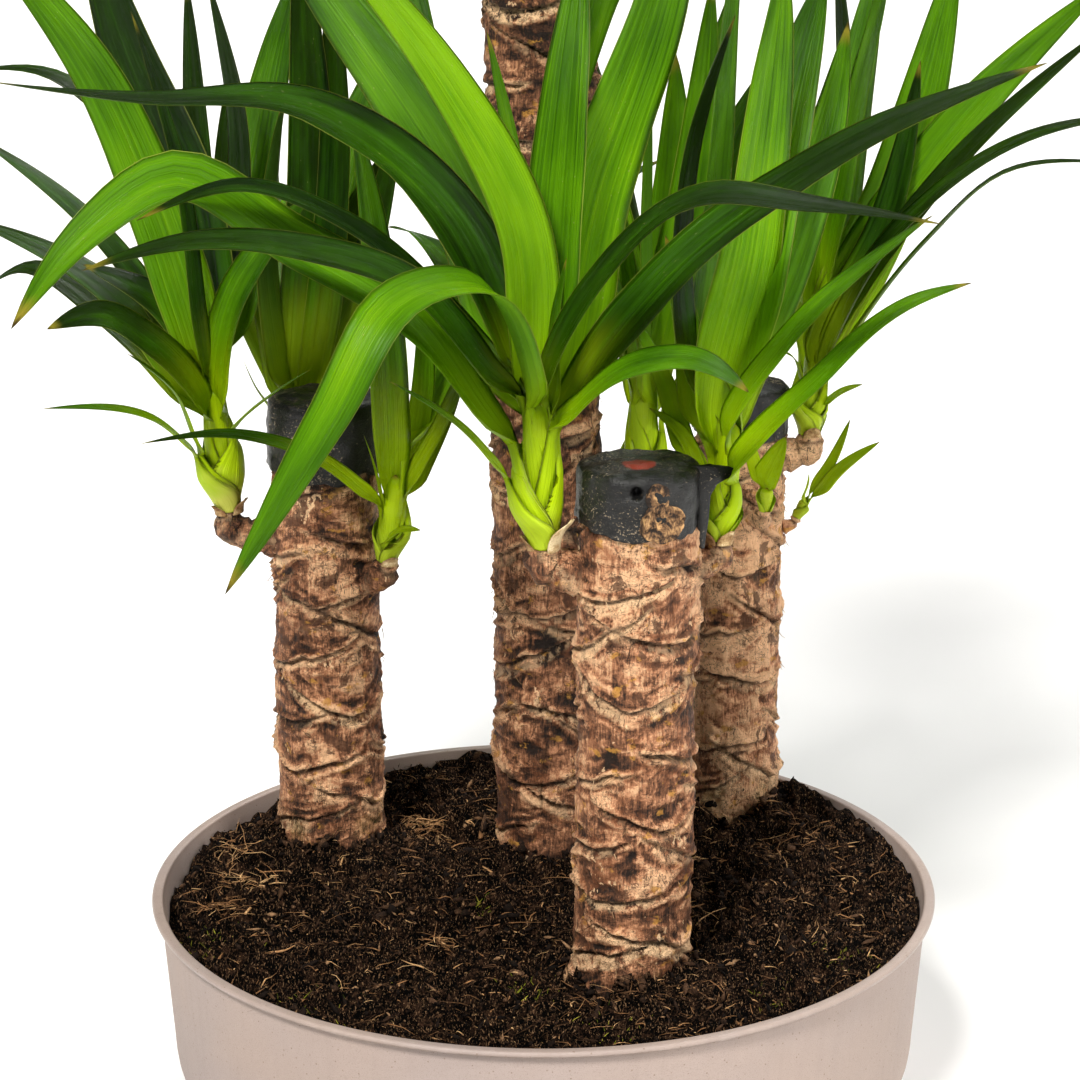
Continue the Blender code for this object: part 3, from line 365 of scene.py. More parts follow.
def spokes(across: Array, third: Array, turn: Array) -> Array:
    """Directions at angles round an axis, from one direction across it towards the other."""
    return across * np.cos(turn)[..., None] + third * np.sin(turn)[..., None]


def swung(a: Array, b: Array, angle: Array) -> tuple[Array, Array]:
    """Two coordinates turned in their plane by an angle."""
    return a * np.cos(angle) - b * np.sin(angle), b * np.cos(angle) + a * np.sin(angle)


def unit(vectors: Array) -> Array:
    """The vectors at length one."""
    return vectors / np.linalg.norm(vectors, axis=-1, keepdims=True)


def turn_about(vectors: Array, axis: Place, degrees: float) -> Array:
    """Turn vectors about an axis by Rodrigues' formula.

    Args:
        vectors: Vectors, three numbers each.
        axis: The axis to turn about.
        degrees: How far to turn.

    Returns:
        The turned vectors.
    """
    axis = unit(np.asarray(axis, dtype=float))
    angle = math.radians(degrees)
    along = (vectors @ axis)[..., None] * axis
    turned = vectors * math.cos(angle) + np.cross(axis, vectors) * math.sin(angle)
    return turned + along * (1 - math.cos(angle))


def read_at(line: Array, run: Array, at: Array) -> Array:
    """A line's places at some runs along it, straight from each of its own points to the next."""
    return np.stack([np.interp(at, run, line[:, k]) for k in range(3)], axis=-1)


def smooth_path(places: Array, count: int) -> Array:
    """Evenly spaced points on a cubic curve through the places, its tangents weighted by its chords.

    Args:
        places: The places that the curve passes through.
        count: How many points to return.

    Returns:
        The points, from the first place to the last.
    """
    p = np.array(places, dtype=float)
    steps = np.linalg.norm(np.diff(p, axis=0), axis=1)
    slopes = np.diff(p, axis=0) / steps[:, None]
    tangents = np.empty_like(p)
    weight = (steps[1:] / (steps[1:] + steps[:-1]))[:, None]
    tangents[1:-1] = slopes[:-1] * weight + slopes[1:] * (1 - weight)
    tangents[0] = 1.5 * slopes[0] - 0.5 * tangents[1]
    tangents[-1] = 1.5 * slopes[-1] - 0.5 * tangents[-2]
    t = np.linspace(0, 1, PATH_STEPS, endpoint=False)[:, None]
    pieces = []
    for i, step in enumerate(steps):
        a = (1 + 2 * t) * (1 - t) ** 2 * p[i] + t * (1 - t) ** 2 * step * tangents[i]
        b = t**2 * (3 - 2 * t) * p[i + 1] + t**2 * (t - 1) * step * tangents[i + 1]
        pieces.append(a + b)
    dense = np.vstack(pieces + [p[-1:]])
    run = np.concatenate([[0], np.cumsum(np.linalg.norm(np.diff(dense, axis=0), axis=1))])
    return read_at(dense, run, np.linspace(0, 1, count) * run[-1])


# Surfaces


def linked(name: str, data: bpy.types.ID) -> bpy.types.Object:
    """An object of that data, put into the scene.

    Args:
        name: Its name.
        data: Its data.

    Returns:
        The object.
    """
    thing = bpy.data.objects.new(name, data)
    bpy.context.scene.collection.objects.link(thing)
    return thing


@dataclass
class Surface:
    """A closed skin: its points, its quads and triangles, its map and its named values at each point."""

    points: Array
    quads: Array
    triangles: Array
    chart: Array
    values: dict[str, Array]

    def piece(self, name: str, finish: Material, slot: str, node: str | None = None) -> None:
        """Put the surface into a smooth mesh object at the origin that rides on the plant.

        Args:
            name: The piece's name.
            finish: Its material.
            slot: Not used.
            node: The CAD node that it takes the place of, if any.
        """
        mesh = bpy.data.meshes.new(name)
        mesh.vertices.add(len(self.points))
        mesh.vertices.foreach_set("co", self.points.astype(np.float32).ravel())
        corners = np.concatenate([self.quads.ravel(), self.triangles.ravel()]).astype(np.int32)
        fans = 4 * len(self.quads) + 3 * np.arange(len(self.triangles))
        starts = np.concatenate([4 * np.arange(len(self.quads)), fans]).astype(np.int32)
        mesh.loops.add(len(corners))
        mesh.loops.foreach_set("vertex_index", corners)
        mesh.polygons.add(len(starts))
        mesh.polygons.foreach_set("loop_start", starts)
        mesh.update(calc_edges=True)
        chart = mesh.uv_layers.new(name="map")
        chart.data.foreach_set("uv", self.chart[corners].astype(np.float32).ravel())
        for key, values in self.values.items():
            layer = mesh.attributes.new(key, "FLOAT", "POINT")
            layer.data.foreach_set("value", values.astype(np.float32).ravel())
        mesh.shade_smooth()
        mesh.materials.append(finish)
        thing = linked(name, mesh)
        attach(thing, "root")
        if node:
            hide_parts(node)
        logging.info("%s: %d triangles", name, 2 * len(self.quads) + len(self.triangles))


def joined(surfaces: list[Surface]) -> Surface:
    """One surface that holds all of them, with the values that the first of them has."""
    offsets = np.cumsum([0] + [len(s.points) for s in surfaces[:-1]])
    return Surface(
        np.concatenate([s.points for s in surfaces]),
        np.concatenate([s.quads + o for s, o in zip(surfaces, offsets)]),
        np.concatenate([s.triangles + o for s, o in zip(surfaces, offsets)]),
        np.concatenate([s.chart for s in surfaces]),
        {key: np.concatenate([s.values[key] for s in surfaces]) for key in surfaces[0].values},
    )


def with_poles(grid: Array, foot: Array, tip: Array) -> Array:
    """A grid of values flattened, with the foot's and the tip's value after it."""
    flat = grid.reshape(-1, *grid.shape[2:])
    return np.concatenate([flat, np.asarray(foot)[None], np.asarray(tip)[None]])


def ring_quads(here: Array) -> Array:
    """Quads between each ring of points and the next, each ring closed.

    Args:
        here: The points' numbers, the rings on the last axis but one.

    Returns:
        The quads.
    """
    beside = np.roll(here, -1, axis=-1)
    corners = (here[..., :-1, :], beside[..., :-1, :], beside[..., 1:, :], here[..., 1:, :])
    return np.stack(corners, axis=-1).reshape(-1, 4)


def loft(rings: Array, foot: Array | None = None, tip: Array | None = None, chart: Array | None = None,
         **values: Array) -> Surface:
    """A closed skin over a grid of rings, counter-clockwise seen from the last one, with a fan at each end.

    Args:
        rings: Rows of rings of points.
        foot: The pole of the first ring, or its middle if none is given.
        tip: The pole of the last ring, or its middle if none is given.
        chart: The map's two numbers at each point, or shares round and along if none is given.
        values: Named values, one for each point of the grid.

    Returns:
        The surface.
    """
    rows, columns = rings.shape[:2]
    foot = rings[0].mean(axis=0) if foot is None else foot
    tip = rings[-1].mean(axis=0) if tip is None else tip
    if chart is None:
        chart = np.stack(np.meshgrid(np.arange(columns) / columns, np.arange(rows) / (rows - 1)), axis=-1)
    here = np.arange(rows * columns).reshape(rows, columns)
    first = stacked(np.roll(here[0], -1), here[0], rows * columns)
    last = stacked(here[-1], np.roll(here[-1], -1), rows * columns + 1)
    return Surface(
        with_poles(rings, foot, tip),
        ring_quads(here),
        np.concatenate([first, last]),
        with_poles(chart, chart[0].mean(axis=0), chart[-1].mean(axis=0)),
        {key: with_poles(grid, grid[0].mean(), grid[-1].mean()) for key, grid in values.items()},
    )


def frames_along(line: Array) -> tuple[Array, Array, Array]:
    """Directions along a line, and two across it that turn as little as they can from a fixed one.

    Args:
        line: Points of one or more lines, the points on the last axis but one.

    Returns:
        Along, across and the third direction, at each point.
    """
    along = unit(np.gradient(line, axis=-2))
    across = unit(np.cross(along, np.array(SLANT)))
    return along, across, np.cross(along, across)


def strands(starts: Array, ways: Array, bends: Array, radius: Array, wiggle: float, tone: Array, seed: int,
            joints: int = 7) -> Surface:
    """Thin three-sided strands: each runs its way, bends away with the square of its share, and wiggles.

    Args:
        starts: Where each strand begins.
        ways: Each strand's direction times its length.
        bends: How far each strand's end is bent away.
        radius: Each strand's radius at its thick end.
        wiggle: How far noise moves the strands, as a share of their length.
        tone: Each strand's tone.
        seed: Picks another wiggle.
        joints: Points along each strand.

    Returns:
        All the strands, with their tone.
    """
    sides = 3
    share = np.linspace(0, 1, joints)[None, :, None]
    lines = starts[:, None] + ways[:, None] * share + bends[:, None] * share**2
    lengths = np.linalg.norm(ways, axis=1)[:, None, None]
    shift = np.stack([noise(lines + 7.0 * k, 0.006, seed + k) for k in range(3)], axis=-1)
    lines = lines + shift * lengths * wiggle * share
    _, across, third = frames_along(lines)
    taper = radius[:, None, None] * (1.0 - 0.75 * share**1.5)
    rings = [lines + taper * (across * math.cos(a) + third * math.sin(a)) for a in round_turns(sides)]
    points = np.stack(rings, axis=2).reshape(-1, 3)
    here = np.arange(len(points)).reshape(len(starts), joints, sides)
    ends = np.concatenate([here[:, 0, ::-1], here[:, -1]])
    return Surface(points, ring_quads(here), ends, np.zeros((len(points), 2)),
                   {"tone": np.repeat(tone, joints * sides)})


BLOCK_POINTS = np.array([(1, 0, 0), (-1, 0, 0), (0, 1, 0), (0, -1, 0), (0, 0, 1), (0, 0, -1)], dtype=float)
BLOCK_FACES = np.array([
    (4, 0, 2), (4, 2, 1), (4, 1, 3), (4, 3, 0), (5, 2, 0), (5, 1, 2), (5, 3, 1), (5, 0, 3),
])


def split_ball(times: int) -> tuple[Array, Array]:
    """The points and triangles of a ball: an eight-faced block, each face split in four and pushed out.

    Args:
        times: How often to split it.

    Returns:
        Points at length one, and triangles that face out.
    """
    points, faces = BLOCK_POINTS, BLOCK_FACES
    for _ in range(times):
        a, b, c = (points[faces[:, k]] for k in range(3))
        corners = np.concatenate([a, b, c, a + b, b + c, c + a])
        points, index = np.unique(np.round(unit(corners), 6), axis=0, return_inverse=True)
        a, b, c, ab, bc, ca = index.reshape(6, -1)
        faces = np.concatenate([
            np.stack(face, axis=1) for face in ((a, ab, ca), (ab, b, bc), (ca, bc, c), (ab, bc, ca))
        ])
    return unit(points), faces


def random_turns(count: int, draw: Draw) -> Array:
    """Random rotations, one three by three matrix each, from random unit quaternions."""
    w, x, y, z = unit(draw.normal(size=(count, 4))).T
    return np.stack([
        stacked(1 - 2 * (y * y + z * z), 2 * (x * y - z * w), 2 * (x * z + y * w)),
        stacked(2 * (x * y + z * w), 1 - 2 * (x * x + z * z), 2 * (y * z - x * w)),
        stacked(2 * (x * z - y * w), 2 * (y * z + x * w), 1 - 2 * (x * x + y * y)),
    ], axis=-2)


def scattering(shapes: Array, places: Array, faces: Array, tone: Array) -> Surface:
    """Many small shapes with the same faces, each moved to its place.

    Args:
        shapes: The points of each shape.
        places: Where each lies.
        faces: The triangles of one.
        tone: The tone of each.

    Returns:
        All of them.
    """
    count, size = shapes.shape[:2]
    points = (shapes + places[:, None]).reshape(-1, 3)
    triangles = (faces[None] + size * np.arange(count)[:, None, None]).reshape(-1, 3)
    return Surface(points, np.zeros((0, 4), int), triangles, np.zeros((len(points), 2)),
                   {"tone": np.repeat(tone, size)})


def crumbs(places: Array, sizes: Array, tone: Array, roughness: float, draw: Draw,
           times: int = 1) -> Surface:
    """Small lumps: balls stretched to their sizes, each point pushed in or out, each turned at random.

    Args:
        places: Where each lump lies.
        sizes: Each lump's three half sizes.
        tone: Each lump's tone.
        roughness: How far points are pushed, as a share.
        draw: The source of random numbers.
        times: How often the ball's faces are split.

    Returns:
        All the lumps, with their tone.
    """
    ball, faces = split_ball(times)
    push = 1.0 + roughness * draw.uniform(-1, 1, (len(places), len(ball), 1))
    shaped = ball[None] * push * sizes[:, None]
    turned = np.einsum("nij,npj->npi", random_turns(len(places), draw), shaped)
    return scattering(turned, places, faces, tone)


# Finishes


class Value:
    """An output of a node. Each sign of arithmetic on it adds a Math node."""

    def __init__(self, nodes: "Nodes", socket: Socket) -> None:
        """Keep the output and the node tree that it is in."""
        self.nodes = nodes
        self.socket = socket

    def __add__(self, other: "Value | float") -> "Value":
        """This and the other."""
        return self.nodes.math("ADD", self, other)

    def __sub__(self, other: "Value | float") -> "Value":
        """This less the other."""
        return self.nodes.math("SUBTRACT", self, other)

    def __rsub__(self, other: float) -> "Value":
        """The other less this."""
        return self.nodes.math("SUBTRACT", other, self)

    def __mul__(self, other: "Value | float") -> "Value":
        """This times the other."""
        return self.nodes.math("MULTIPLY", self, other)

    def __abs__(self) -> "Value":
        """This without its sign."""
        return self.nodes.math("ABSOLUTE", self, 0.0)

    def held(self) -> "Value":
        """This, held from 0 to 1 by its own Math node."""
        self.socket.node.use_clamp = True
        return self

    def swing(self, strength: float) -> "Value":
        """A value from 0 to 1 made to swing about 0, times a strength."""
        return (self - 0.5) * strength

    def between(self, low: float, high: float) -> "Value":
        """This spread so that low becomes 0 and high becomes 1, eased and held outside them."""
        inputs = {"Value": self, "From Min": low, "From Max": high}
        return self.nodes.add("MapRange", "Result", inputs, interpolation_type="SMOOTHSTEP")


class Nodes:
    """A material's node tree, put together a node at a time."""

    def __init__(self, name: str) -> None:
        """Start a material with a Principled shader and its output.

        Args:
            name: The material's name.
        """
        self.made = bpy.data.materials.new(name)
        self.made.use_nodes = True
        self.tree = self.made.node_tree
        self.shader = self.tree.nodes["Principled BSDF"]

    def put(self, socket: Socket, given: Value | float | Place) -> None:
        """Join a socket to another node's output, or set its own value.

        Args:
            socket: The socket to fill.
            given: An output, a number, a vector or a colour.
        """
        if isinstance(given, Value):
            self.tree.links.new(given.socket, socket)
        elif socket.type == "RGBA":
            socket.default_value = (*given, 1.0)
        else:
            socket.default_value = given

    def add(self, kind: str, output: str | int, inputs: dict[str | int, object], **settings: object) -> Value:
        """Add a node of a kind.

        Args:
            kind: The node's type, without ShaderNode before it.
            output: Which of its outputs is wanted.
            inputs: What goes into its sockets.
            settings: Properties of the node.

        Returns:
            The output.
        """
        made = self.tree.nodes.new("ShaderNode" + kind)
        for key, setting in settings.items():
            setattr(made, key, setting)
        for key, given in inputs.items():
            self.put(made.inputs[key], given)
        return Value(self, made.outputs[output])

    def math(self, operation: str, a: Value | float, b: Value | float) -> Value:
        """Arithmetic on two values by Blender's name for it."""
        return self.add("Math", 0, {0: a, 1: b}, operation=operation)

    def value(self, name: str) -> Value:
        """A named value of the surface's points."""
        return self.add("Attribute", "Fac", {}, attribute_name=name)

    def where(self, place: Value | Place) -> Value:
        """Where a pattern is read.

        Args:
            place: A place, or a scale for Object coordinates, small where the pattern is drawn out.

        Returns:
            The place.
        """
        if isinstance(place, Value):
            return place
        return self.add("Mapping", "Vector", {"Vector": self.add("TexCoord", "Object", {}), "Scale": place})

    def map_shares(self) -> tuple[Value, Value]:
        """The piece's own map: the share across and the share along."""
        across = self.add("SeparateXYZ", 0, {0: self.add("UVMap", "UV", {}, uv_map="map")})
        return across, Value(self, across.socket.node.outputs[1])

    def grain(self, place: Value | Place, scale: float, detail: float, rough: float = 0.55,
              bend: float = 0.0) -> Value:
        """Noise from 0 to 1.

        Args:
            place: Where it is read, or how Object coordinates are scaled for it.
            scale: Cells to the metre, or to the map's unit.
            detail: Layers of finer noise.
            rough: How strong the finer layers are.
            bend: How far the noise bends itself.

        Returns:
            The noise.
        """
        inputs = {"Scale": scale, "Detail": detail, "Roughness": rough, "Distortion": bend}
        return self.add("TexNoise", "Fac", {"Vector": self.where(place), **inputs})

    def cells(self, place: Value | Place, scale: float) -> Value:
        """How far each place is from the middle of its cell, in a random pattern of cells."""
        return self.add("TexVoronoi", "Distance", {"Vector": self.where(place), "Scale": scale})

    def ramp(self, value: Value, *stops: tuple[float, Colour]) -> Value:
        """A colour for each value, blended between the stops.

        Args:
            value: The value from 0 to 1.
            stops: A place and a colour each.

        Returns:
            The colour.
        """
        made = self.add("ValToRGB", 0, {0: value})
        band = made.socket.node.color_ramp.elements
        while len(band) < len(stops):
            band.new(0.5)
        for element, (place, colour) in zip(band, stops):
            element.position = place
            element.color = (*colour, 1.0)
        return made

    def mix(self, share: Value | float, a: Value | Colour, b: Value | Colour) -> Value:
        """Two colours mixed by the second one's share."""
        return self.add("Mix", 2, {0: share, 6: a, 7: b}, data_type="RGBA")

    def coated(self, colour: Value | Colour, *coats: tuple[Value, Colour]) -> Value:
        """A colour with others laid over it in turn.

        Args:
            colour: The first colour.
            coats: A share and a colour each.

        Returns:
            The colour.
        """
        for share, coat in coats:
            colour = self.mix(share, colour, coat)
        return colour

    def relief(self, height: Value, distance: float) -> None:
        """Bump the shader's surface by a height from 0 to 1, which stands for a distance in metres."""
        inputs = {"Height": height, "Distance": distance, "Strength": 1.0}
        self.put(self.shader.inputs["Normal"], self.add("Bump", "Normal", inputs))

    def finish(self, colour: Value | Colour, roughness: Value | float, specular: float) -> None:
        """Set how the shader looks.

        Args:
            colour: Its colour.
            roughness: Its roughness.
            specular: Its specular level, the same all over.
        """
        self.put(self.shader.inputs["Base Color"], colour)
        self.put(self.shader.inputs["Roughness"], roughness)
        self.put(self.shader.inputs["Specular IOR Level"], specular)


PLAIN = (1.0, 1.0, 1.0)


class Finish:
    """A finish that can be put on pieces: each kind has a name and joins up its own nodes."""

    name: str

    def dress(self, made: Nodes) -> None:
        """Join the nodes up."""
        raise NotImplementedError

    def material(self) -> Material:
        """The finish as a new material.

        Returns:
            The material.
        """
        made = Nodes(self.name)
        self.dress(made)
        return made.made


@dataclass(frozen=True)
class LeafFinish(Finish):
    """Glossy green leaf: striped along, lime at the foot, thin pale edges, light shining through."""

    name: str = "leaf"
    deep: Colour = (0.0030, 0.0150, 0.0006)
    dull: Colour = (0.0320, 0.1200, 0.0012)
    fresh: Colour = (0.1080, 0.3000, 0.0018)
    bright: Colour = (0.2300, 0.4800, 0.0030)
    lime: Colour = (0.5800, 0.8000, 0.0030)
    foot: Colour = (0.8200, 0.8400, 0.1500)
    edge: Colour = (0.6200, 0.7200, 0.1000)
    tip: Colour = (0.4200, 0.3400, 0.0350)
    burnt: Colour = (0.0900, 0.0450, 0.0150)
    speck: Colour = (0.5600, 0.5600, 0.1800)
    beneath: Colour = (0.1000, 0.2500, 0.0160)
    shining: Colour = (0.6000, 0.8600, 0.0500)
    through: float = 0.26
    foot_run: Place = (0.004, 0.022)
    lime_run: Place = (0.018, 0.115)

    def dress(self, made: Nodes) -> None:
        """Join the nodes up from the leaf's map and its values tone, seed, under, pale and run.

        Args:
            made: The material's nodes.
        """
        under = made.value("under")
        across, along = made.map_shares()
        shift = made.value("seed") * 37.0
        stripes, fine, clouds, smear = (
            made.grain(made.add("CombineXYZ", 0, {0: across * wide, 1: along * long, 2: shift}), 1.0, *layers)
            for wide, long, *layers in (
                (26.0, 1.3, 2.0), (120.0, 2.0, 1.0), (1.6, 4.0, 3.0), (4.0, 9.0, 4.0, 0.65),
            )
        )
        specks = made.cells(made.add("CombineXYZ", 0, {0: across * 13.0, 1: along * 60.0, 2: shift}), 1.0)
        # The tone carries each leaf's painted shade or light, and its own clouds and stripes. It also falls
        # from root to tip: painted light near the root, where light shines through the leaf.
        tone = made.value("tone") + clouds.swing(1.05) - along.swing(0.36) + stripes.swing(0.55)
        tone = (tone + fine.swing(0.42)).held()
        run = made.value("run") + clouds.swing(0.05)
        rim = abs(across * 2.0 - 1.0) + fine.swing(0.02)
        end = along + clouds.swing(0.03)
        green = made.coated(
            made.ramp(tone, (0.0, self.deep), (0.34, self.dull), (0.66, self.fresh), (1.0, self.bright)),
            (under * 0.40, self.beneath),
            ((1.0 - run.between(*self.lime_run)) * 0.92, self.lime),
            ((1.0 - run.between(*self.foot_run)) * made.value("pale"), self.foot),
            ((1.0 - specks.between(0.05, 0.10)) * clouds.between(0.50, 0.62) * 0.8, self.speck),
            (rim.between(0.955, 0.99) * 0.70, self.edge),
            (end.between(0.955, 0.992), self.tip),
            (end.between(0.988, 1.004), self.burnt),
        )
        made.finish(green, smear * 0.40 + 0.06 + under * 0.14, 0.16)
        made.relief(stripes * 0.7 + fine * 0.3, 0.0013)
        light = made.add("BsdfTranslucent", 0, {"Color": made.mix(0.45, self.shining, green)})
        shader = Value(made, made.shader.outputs[0])
        both = made.add("MixShader", 0, {0: self.through, 1: shader, 2: light})
        made.put(made.tree.nodes["Material Output"].inputs["Surface"], both)


@dataclass(frozen=True)
class BarkFinish(Finish):
    """Rough brown bark: plates of their own tone, fibres along the cane, cream in the scars, painted shade in
    slits.
    """

    name: str = "bark"
    dark: Colour = (0.0160, 0.0075, 0.0038)
    brown: Colour = (0.0900, 0.0360, 0.0165)
    middle: Colour = (0.2600, 0.1080, 0.0500)
    tan: Colour = (0.5900, 0.2720, 0.1350)
    pink: Colour = (0.9000, 0.5300, 0.2900)
    cream: Colour = (1.0000, 0.6600, 0.3700)
    ochre: Colour = (0.6200, 0.3000, 0.0500)
    rust: Colour = (0.2600, 0.0850, 0.0300)
    # Painted shade: near black for the slits under the lips and for the cracks
    slit: Colour = (0.0050, 0.0028, 0.0016)
    moss: Colour = (0.2000, 0.2100, 0.0300)

    def dress(self, made: Nodes) -> None:
        """Join the nodes up from Object coordinates, the values scar, lip, pale and moss, and the value that
        paints shade in slits and cracks.

        Args:
            made: The material's nodes.
        """
        fibres, strings, mottle, wrinkles, cracks, spots, rusty, stains, patches, chips = (
            made.grain((1.0, 1.0, tall), *layers) for tall, *layers in (
                (0.13, 1150.0, 2.0, 0.6), (0.22, 420.0, 4.0, 0.65, 0.5), (1.3, 115.0, 6.0, 0.68, 0.8),
                (2.6, 150.0, 4.0, 0.62, 0.9), (0.16, 230.0, 3.0, 0.60, 0.3), (1.4, 95.0, 4.0, 0.6),
                (1.2, 62.0, 5.0, 0.66, 0.5), (0.75, 78.0, 6.0, 0.72, 0.6), (0.55, 230.0, 5.0, 0.72),
                (0.6, 75.0, 4.0, 0.75),
            )
        )
        clouds = made.grain(PLAIN, 48.0, 4.0, 0.6, 0.4)
        grit = made.grain(PLAIN, 1500.0, 3.0, 0.7)
        scar = made.value("scar")
        # The pale value holds painted highlight on raised folds and lips. The bark's own clouds, mottle,
        # fibres, strings and grit add tone, and the lips get a little more painted highlight.
        tone = made.value("pale") + clouds.swing(1.15) + mottle.swing(1.60) + fibres.swing(0.85)
        tone = (tone + strings.swing(0.80) + grit.swing(0.40) + made.value("lip") * 0.12).held()
        # Painted shade: thin dark creases along the wrinkle and crack patterns, in patches; the relief sinks
        # them too
        here = clouds.between(0.40, 0.54)
        shaded_creases = [
            (1.0 - abs(pattern - 0.5).between(0.2 * width, width)) * here
            for pattern, width in ((wrinkles, 0.013), (cracks, 0.009))
        ]
        colour = made.coated(
            made.ramp(tone, (0.0, self.dark), (0.20, self.brown), (0.44, self.middle), (0.68, self.tan),
                      (0.95, self.pink)),
            (spots.between(0.60, 0.66) * 0.70, self.ochre),
            (rusty.between(0.52, 0.64) * 0.45, self.rust),
            (stains.between(0.555, 0.600) * 0.80, self.brown),
            (patches.between(0.40, 0.52) * scar, self.cream),
            (grit.between(0.58, 0.65) * scar * 0.8, self.brown),
            (chips.between(0.645, 0.665) * 0.8, self.cream),
            (clouds.between(0.44, 0.60) * made.value("moss") * 0.7, self.moss),
            *((crease * 0.85, self.dark) for crease in shaded_creases),
            # Painted shade: the slits under the lips and the cracks are painted near black
            (made.value("slit"), self.slit),
        )
        made.finish(colour, mottle * 0.35 + 0.48, 0.30)
        height = fibres * 0.26 + strings * 0.50 + mottle + grit * 0.22
        made.relief(height - made.math("MAXIMUM", *shaded_creases) * 0.22, 0.0032)


@dataclass(frozen=True)
class WaxFinish(Finish):
    """Black sealing wax: dull sheen in patches, dust and bark grit in it, a red-brown blot on one cap."""

    name: str = "wax"
    black: Colour = (0.0035, 0.0035, 0.0034)
    grey: Colour = (0.0180, 0.0178, 0.0165)
    dust: Colour = (0.3600, 0.2800, 0.1900)
    blot: Colour = (0.3200, 0.0300, 0.0100)

    def dress(self, made: Nodes) -> None:
        """Join the nodes up from Object coordinates and the values dusty and blot, below 0 in a hole, which
        is painted black as shade.

        Args:
            made: The material's nodes.
        """
        clouds = made.grain(PLAIN, 55.0, 4.0, 0.6)
        grit = made.grain(PLAIN, 900.0, 3.0, 0.7)
        scratches = made.grain((0.4, 1.0, 1.6), 420.0, 4.0, 0.7)
        specks = 1.0 - made.cells(PLAIN, 430.0).between(0.10, 0.22)
        dusty = made.value("dusty") * 0.12
        blot = made.value("blot")
        colour = made.coated(
            made.ramp(clouds, (0.35, self.black), (0.75, self.grey)),
            ((grit + dusty).between(0.655, 0.735) * clouds.between(0.40, 0.60), self.dust),
            (specks * (clouds + dusty).between(0.54, 0.68) * 0.10, self.dust),
            (scratches.between(0.665, 0.72) * 0.6, self.dust),
            (blot, self.blot),
            # Painted shade: where blot is below 0, in the front cap's hole, the wax is painted black
            ((blot * -1.0).held(), self.black),
        )
        made.finish(colour, clouds * 0.46 + 0.15, 0.36)
        made.relief(scratches * 0.6 + grit * 0.4, 0.0009)


@dataclass(frozen=True)
class PeatFinish(Finish):
    """Damp peat: nearly black, with brown fibres and grains."""

    name: str = "peat"
    black: Colour = (0.0009, 0.0006, 0.0004)
    brown: Colour = (0.072, 0.036, 0.020)
    grain: Colour = (0.360, 0.210, 0.110)

    def dress(self, made: Nodes) -> None:
        """Join the nodes up from Object coordinates.

        Args:
            made: The material's nodes.
        """
        clods = made.grain(PLAIN, 170.0, 4.0, 0.65)
        fine = made.grain(PLAIN, 900.0, 4.0, 0.7)
        threads = made.grain((1.0, 0.25, 0.5), 1500.0, 2.0, 0.6, 0.6)
        colour = made.ramp(clods * 0.5 + fine * 0.5, (0.50, self.black), (0.64, self.brown))
        colour = made.mix(threads.between(0.60, 0.66) * 0.80, colour, self.grain)
        made.finish(colour, 0.92, 0.05)
        made.relief(fine * 0.6 + clods * 0.4, 0.0060)


@dataclass(frozen=True)
class BitsFinish(Finish):
    """Loose bits whose tone picks their colour, with a fine grain: peat, straw, moss, bark or dry scales."""

    name: str
    scale: float
    roughness: float
    places: Place
    colours: tuple[Colour, ...]

    def dress(self, made: Nodes) -> None:
        """Join the nodes up from the value tone.

        Args:
            made: The material's nodes.
        """
        grain = made.grain(PLAIN, self.scale, 3.0, 0.65)
        tone = (made.value("tone") + grain.swing(0.9)).held()
        made.finish(made.ramp(tone, *zip(self.places, self.colours)), self.roughness, 0.12)
        made.relief(grain, 0.0006)


PEAT_BITS = BitsFinish("crumbs", 1100.0, 0.85, (0.0, 0.35, 0.70, 1.0), (
    (0.0018, 0.0012, 0.0009), (0.012, 0.0065, 0.0040), (0.075, 0.038, 0.020), (0.400, 0.230, 0.115),
))
STRAW_BITS = BitsFinish("fibres", 1500.0, 0.7, (0.0, 0.35, 0.70, 1.0), (
    (0.016, 0.008, 0.005), (0.090, 0.045, 0.021), (0.420, 0.205, 0.083), (0.920, 0.590, 0.280),
))
MOSS_BITS = BitsFinish("moss", 900.0, 0.7, (0.0, 0.5, 1.0), (
    (0.055, 0.070, 0.008), (0.240, 0.260, 0.018), (0.620, 0.560, 0.070),
))
BARK_BITS = BitsFinish("bark_fibres", 1500.0, 0.75, (0.0, 0.4, 0.75, 1.0), (
    (0.030, 0.016, 0.009), (0.150, 0.080, 0.040), (0.430, 0.250, 0.120), (0.760, 0.560, 0.340),
))
DRY_SCALES = BitsFinish("papery", 900.0, 0.6, (0.0, 0.45, 0.75, 1.0), (
    (0.060, 0.028, 0.012), (0.280, 0.150, 0.060), (0.560, 0.380, 0.180), (0.860, 0.700, 0.420),
))


@dataclass(frozen=True)
class WoodFinish(Finish):
    """Cut and weathered wood in the wax: tan and brown, with dark cracks."""

    name: str = "wood"
    dark: Colour = (0.020, 0.012, 0.008)
    brown: Colour = (0.170, 0.090, 0.042)
    tan: Colour = (0.600, 0.350, 0.150)

    def dress(self, made: Nodes) -> None:
        """Join the nodes up from Object coordinates.

        Args:
            made: The material's nodes.
        """
        patches = made.grain(PLAIN, 210.0, 4.0, 0.65, 0.5)
        fine = made.grain((1.0, 1.0, 0.35), 1100.0, 3.0, 0.6)
        tone = patches * 0.75 + fine * 0.25
        made.finish(made.ramp(tone, (0.43, self.dark), (0.51, self.brown), (0.63, self.tan)), 0.78, 0.3)
        made.relief(tone, 0.0025)


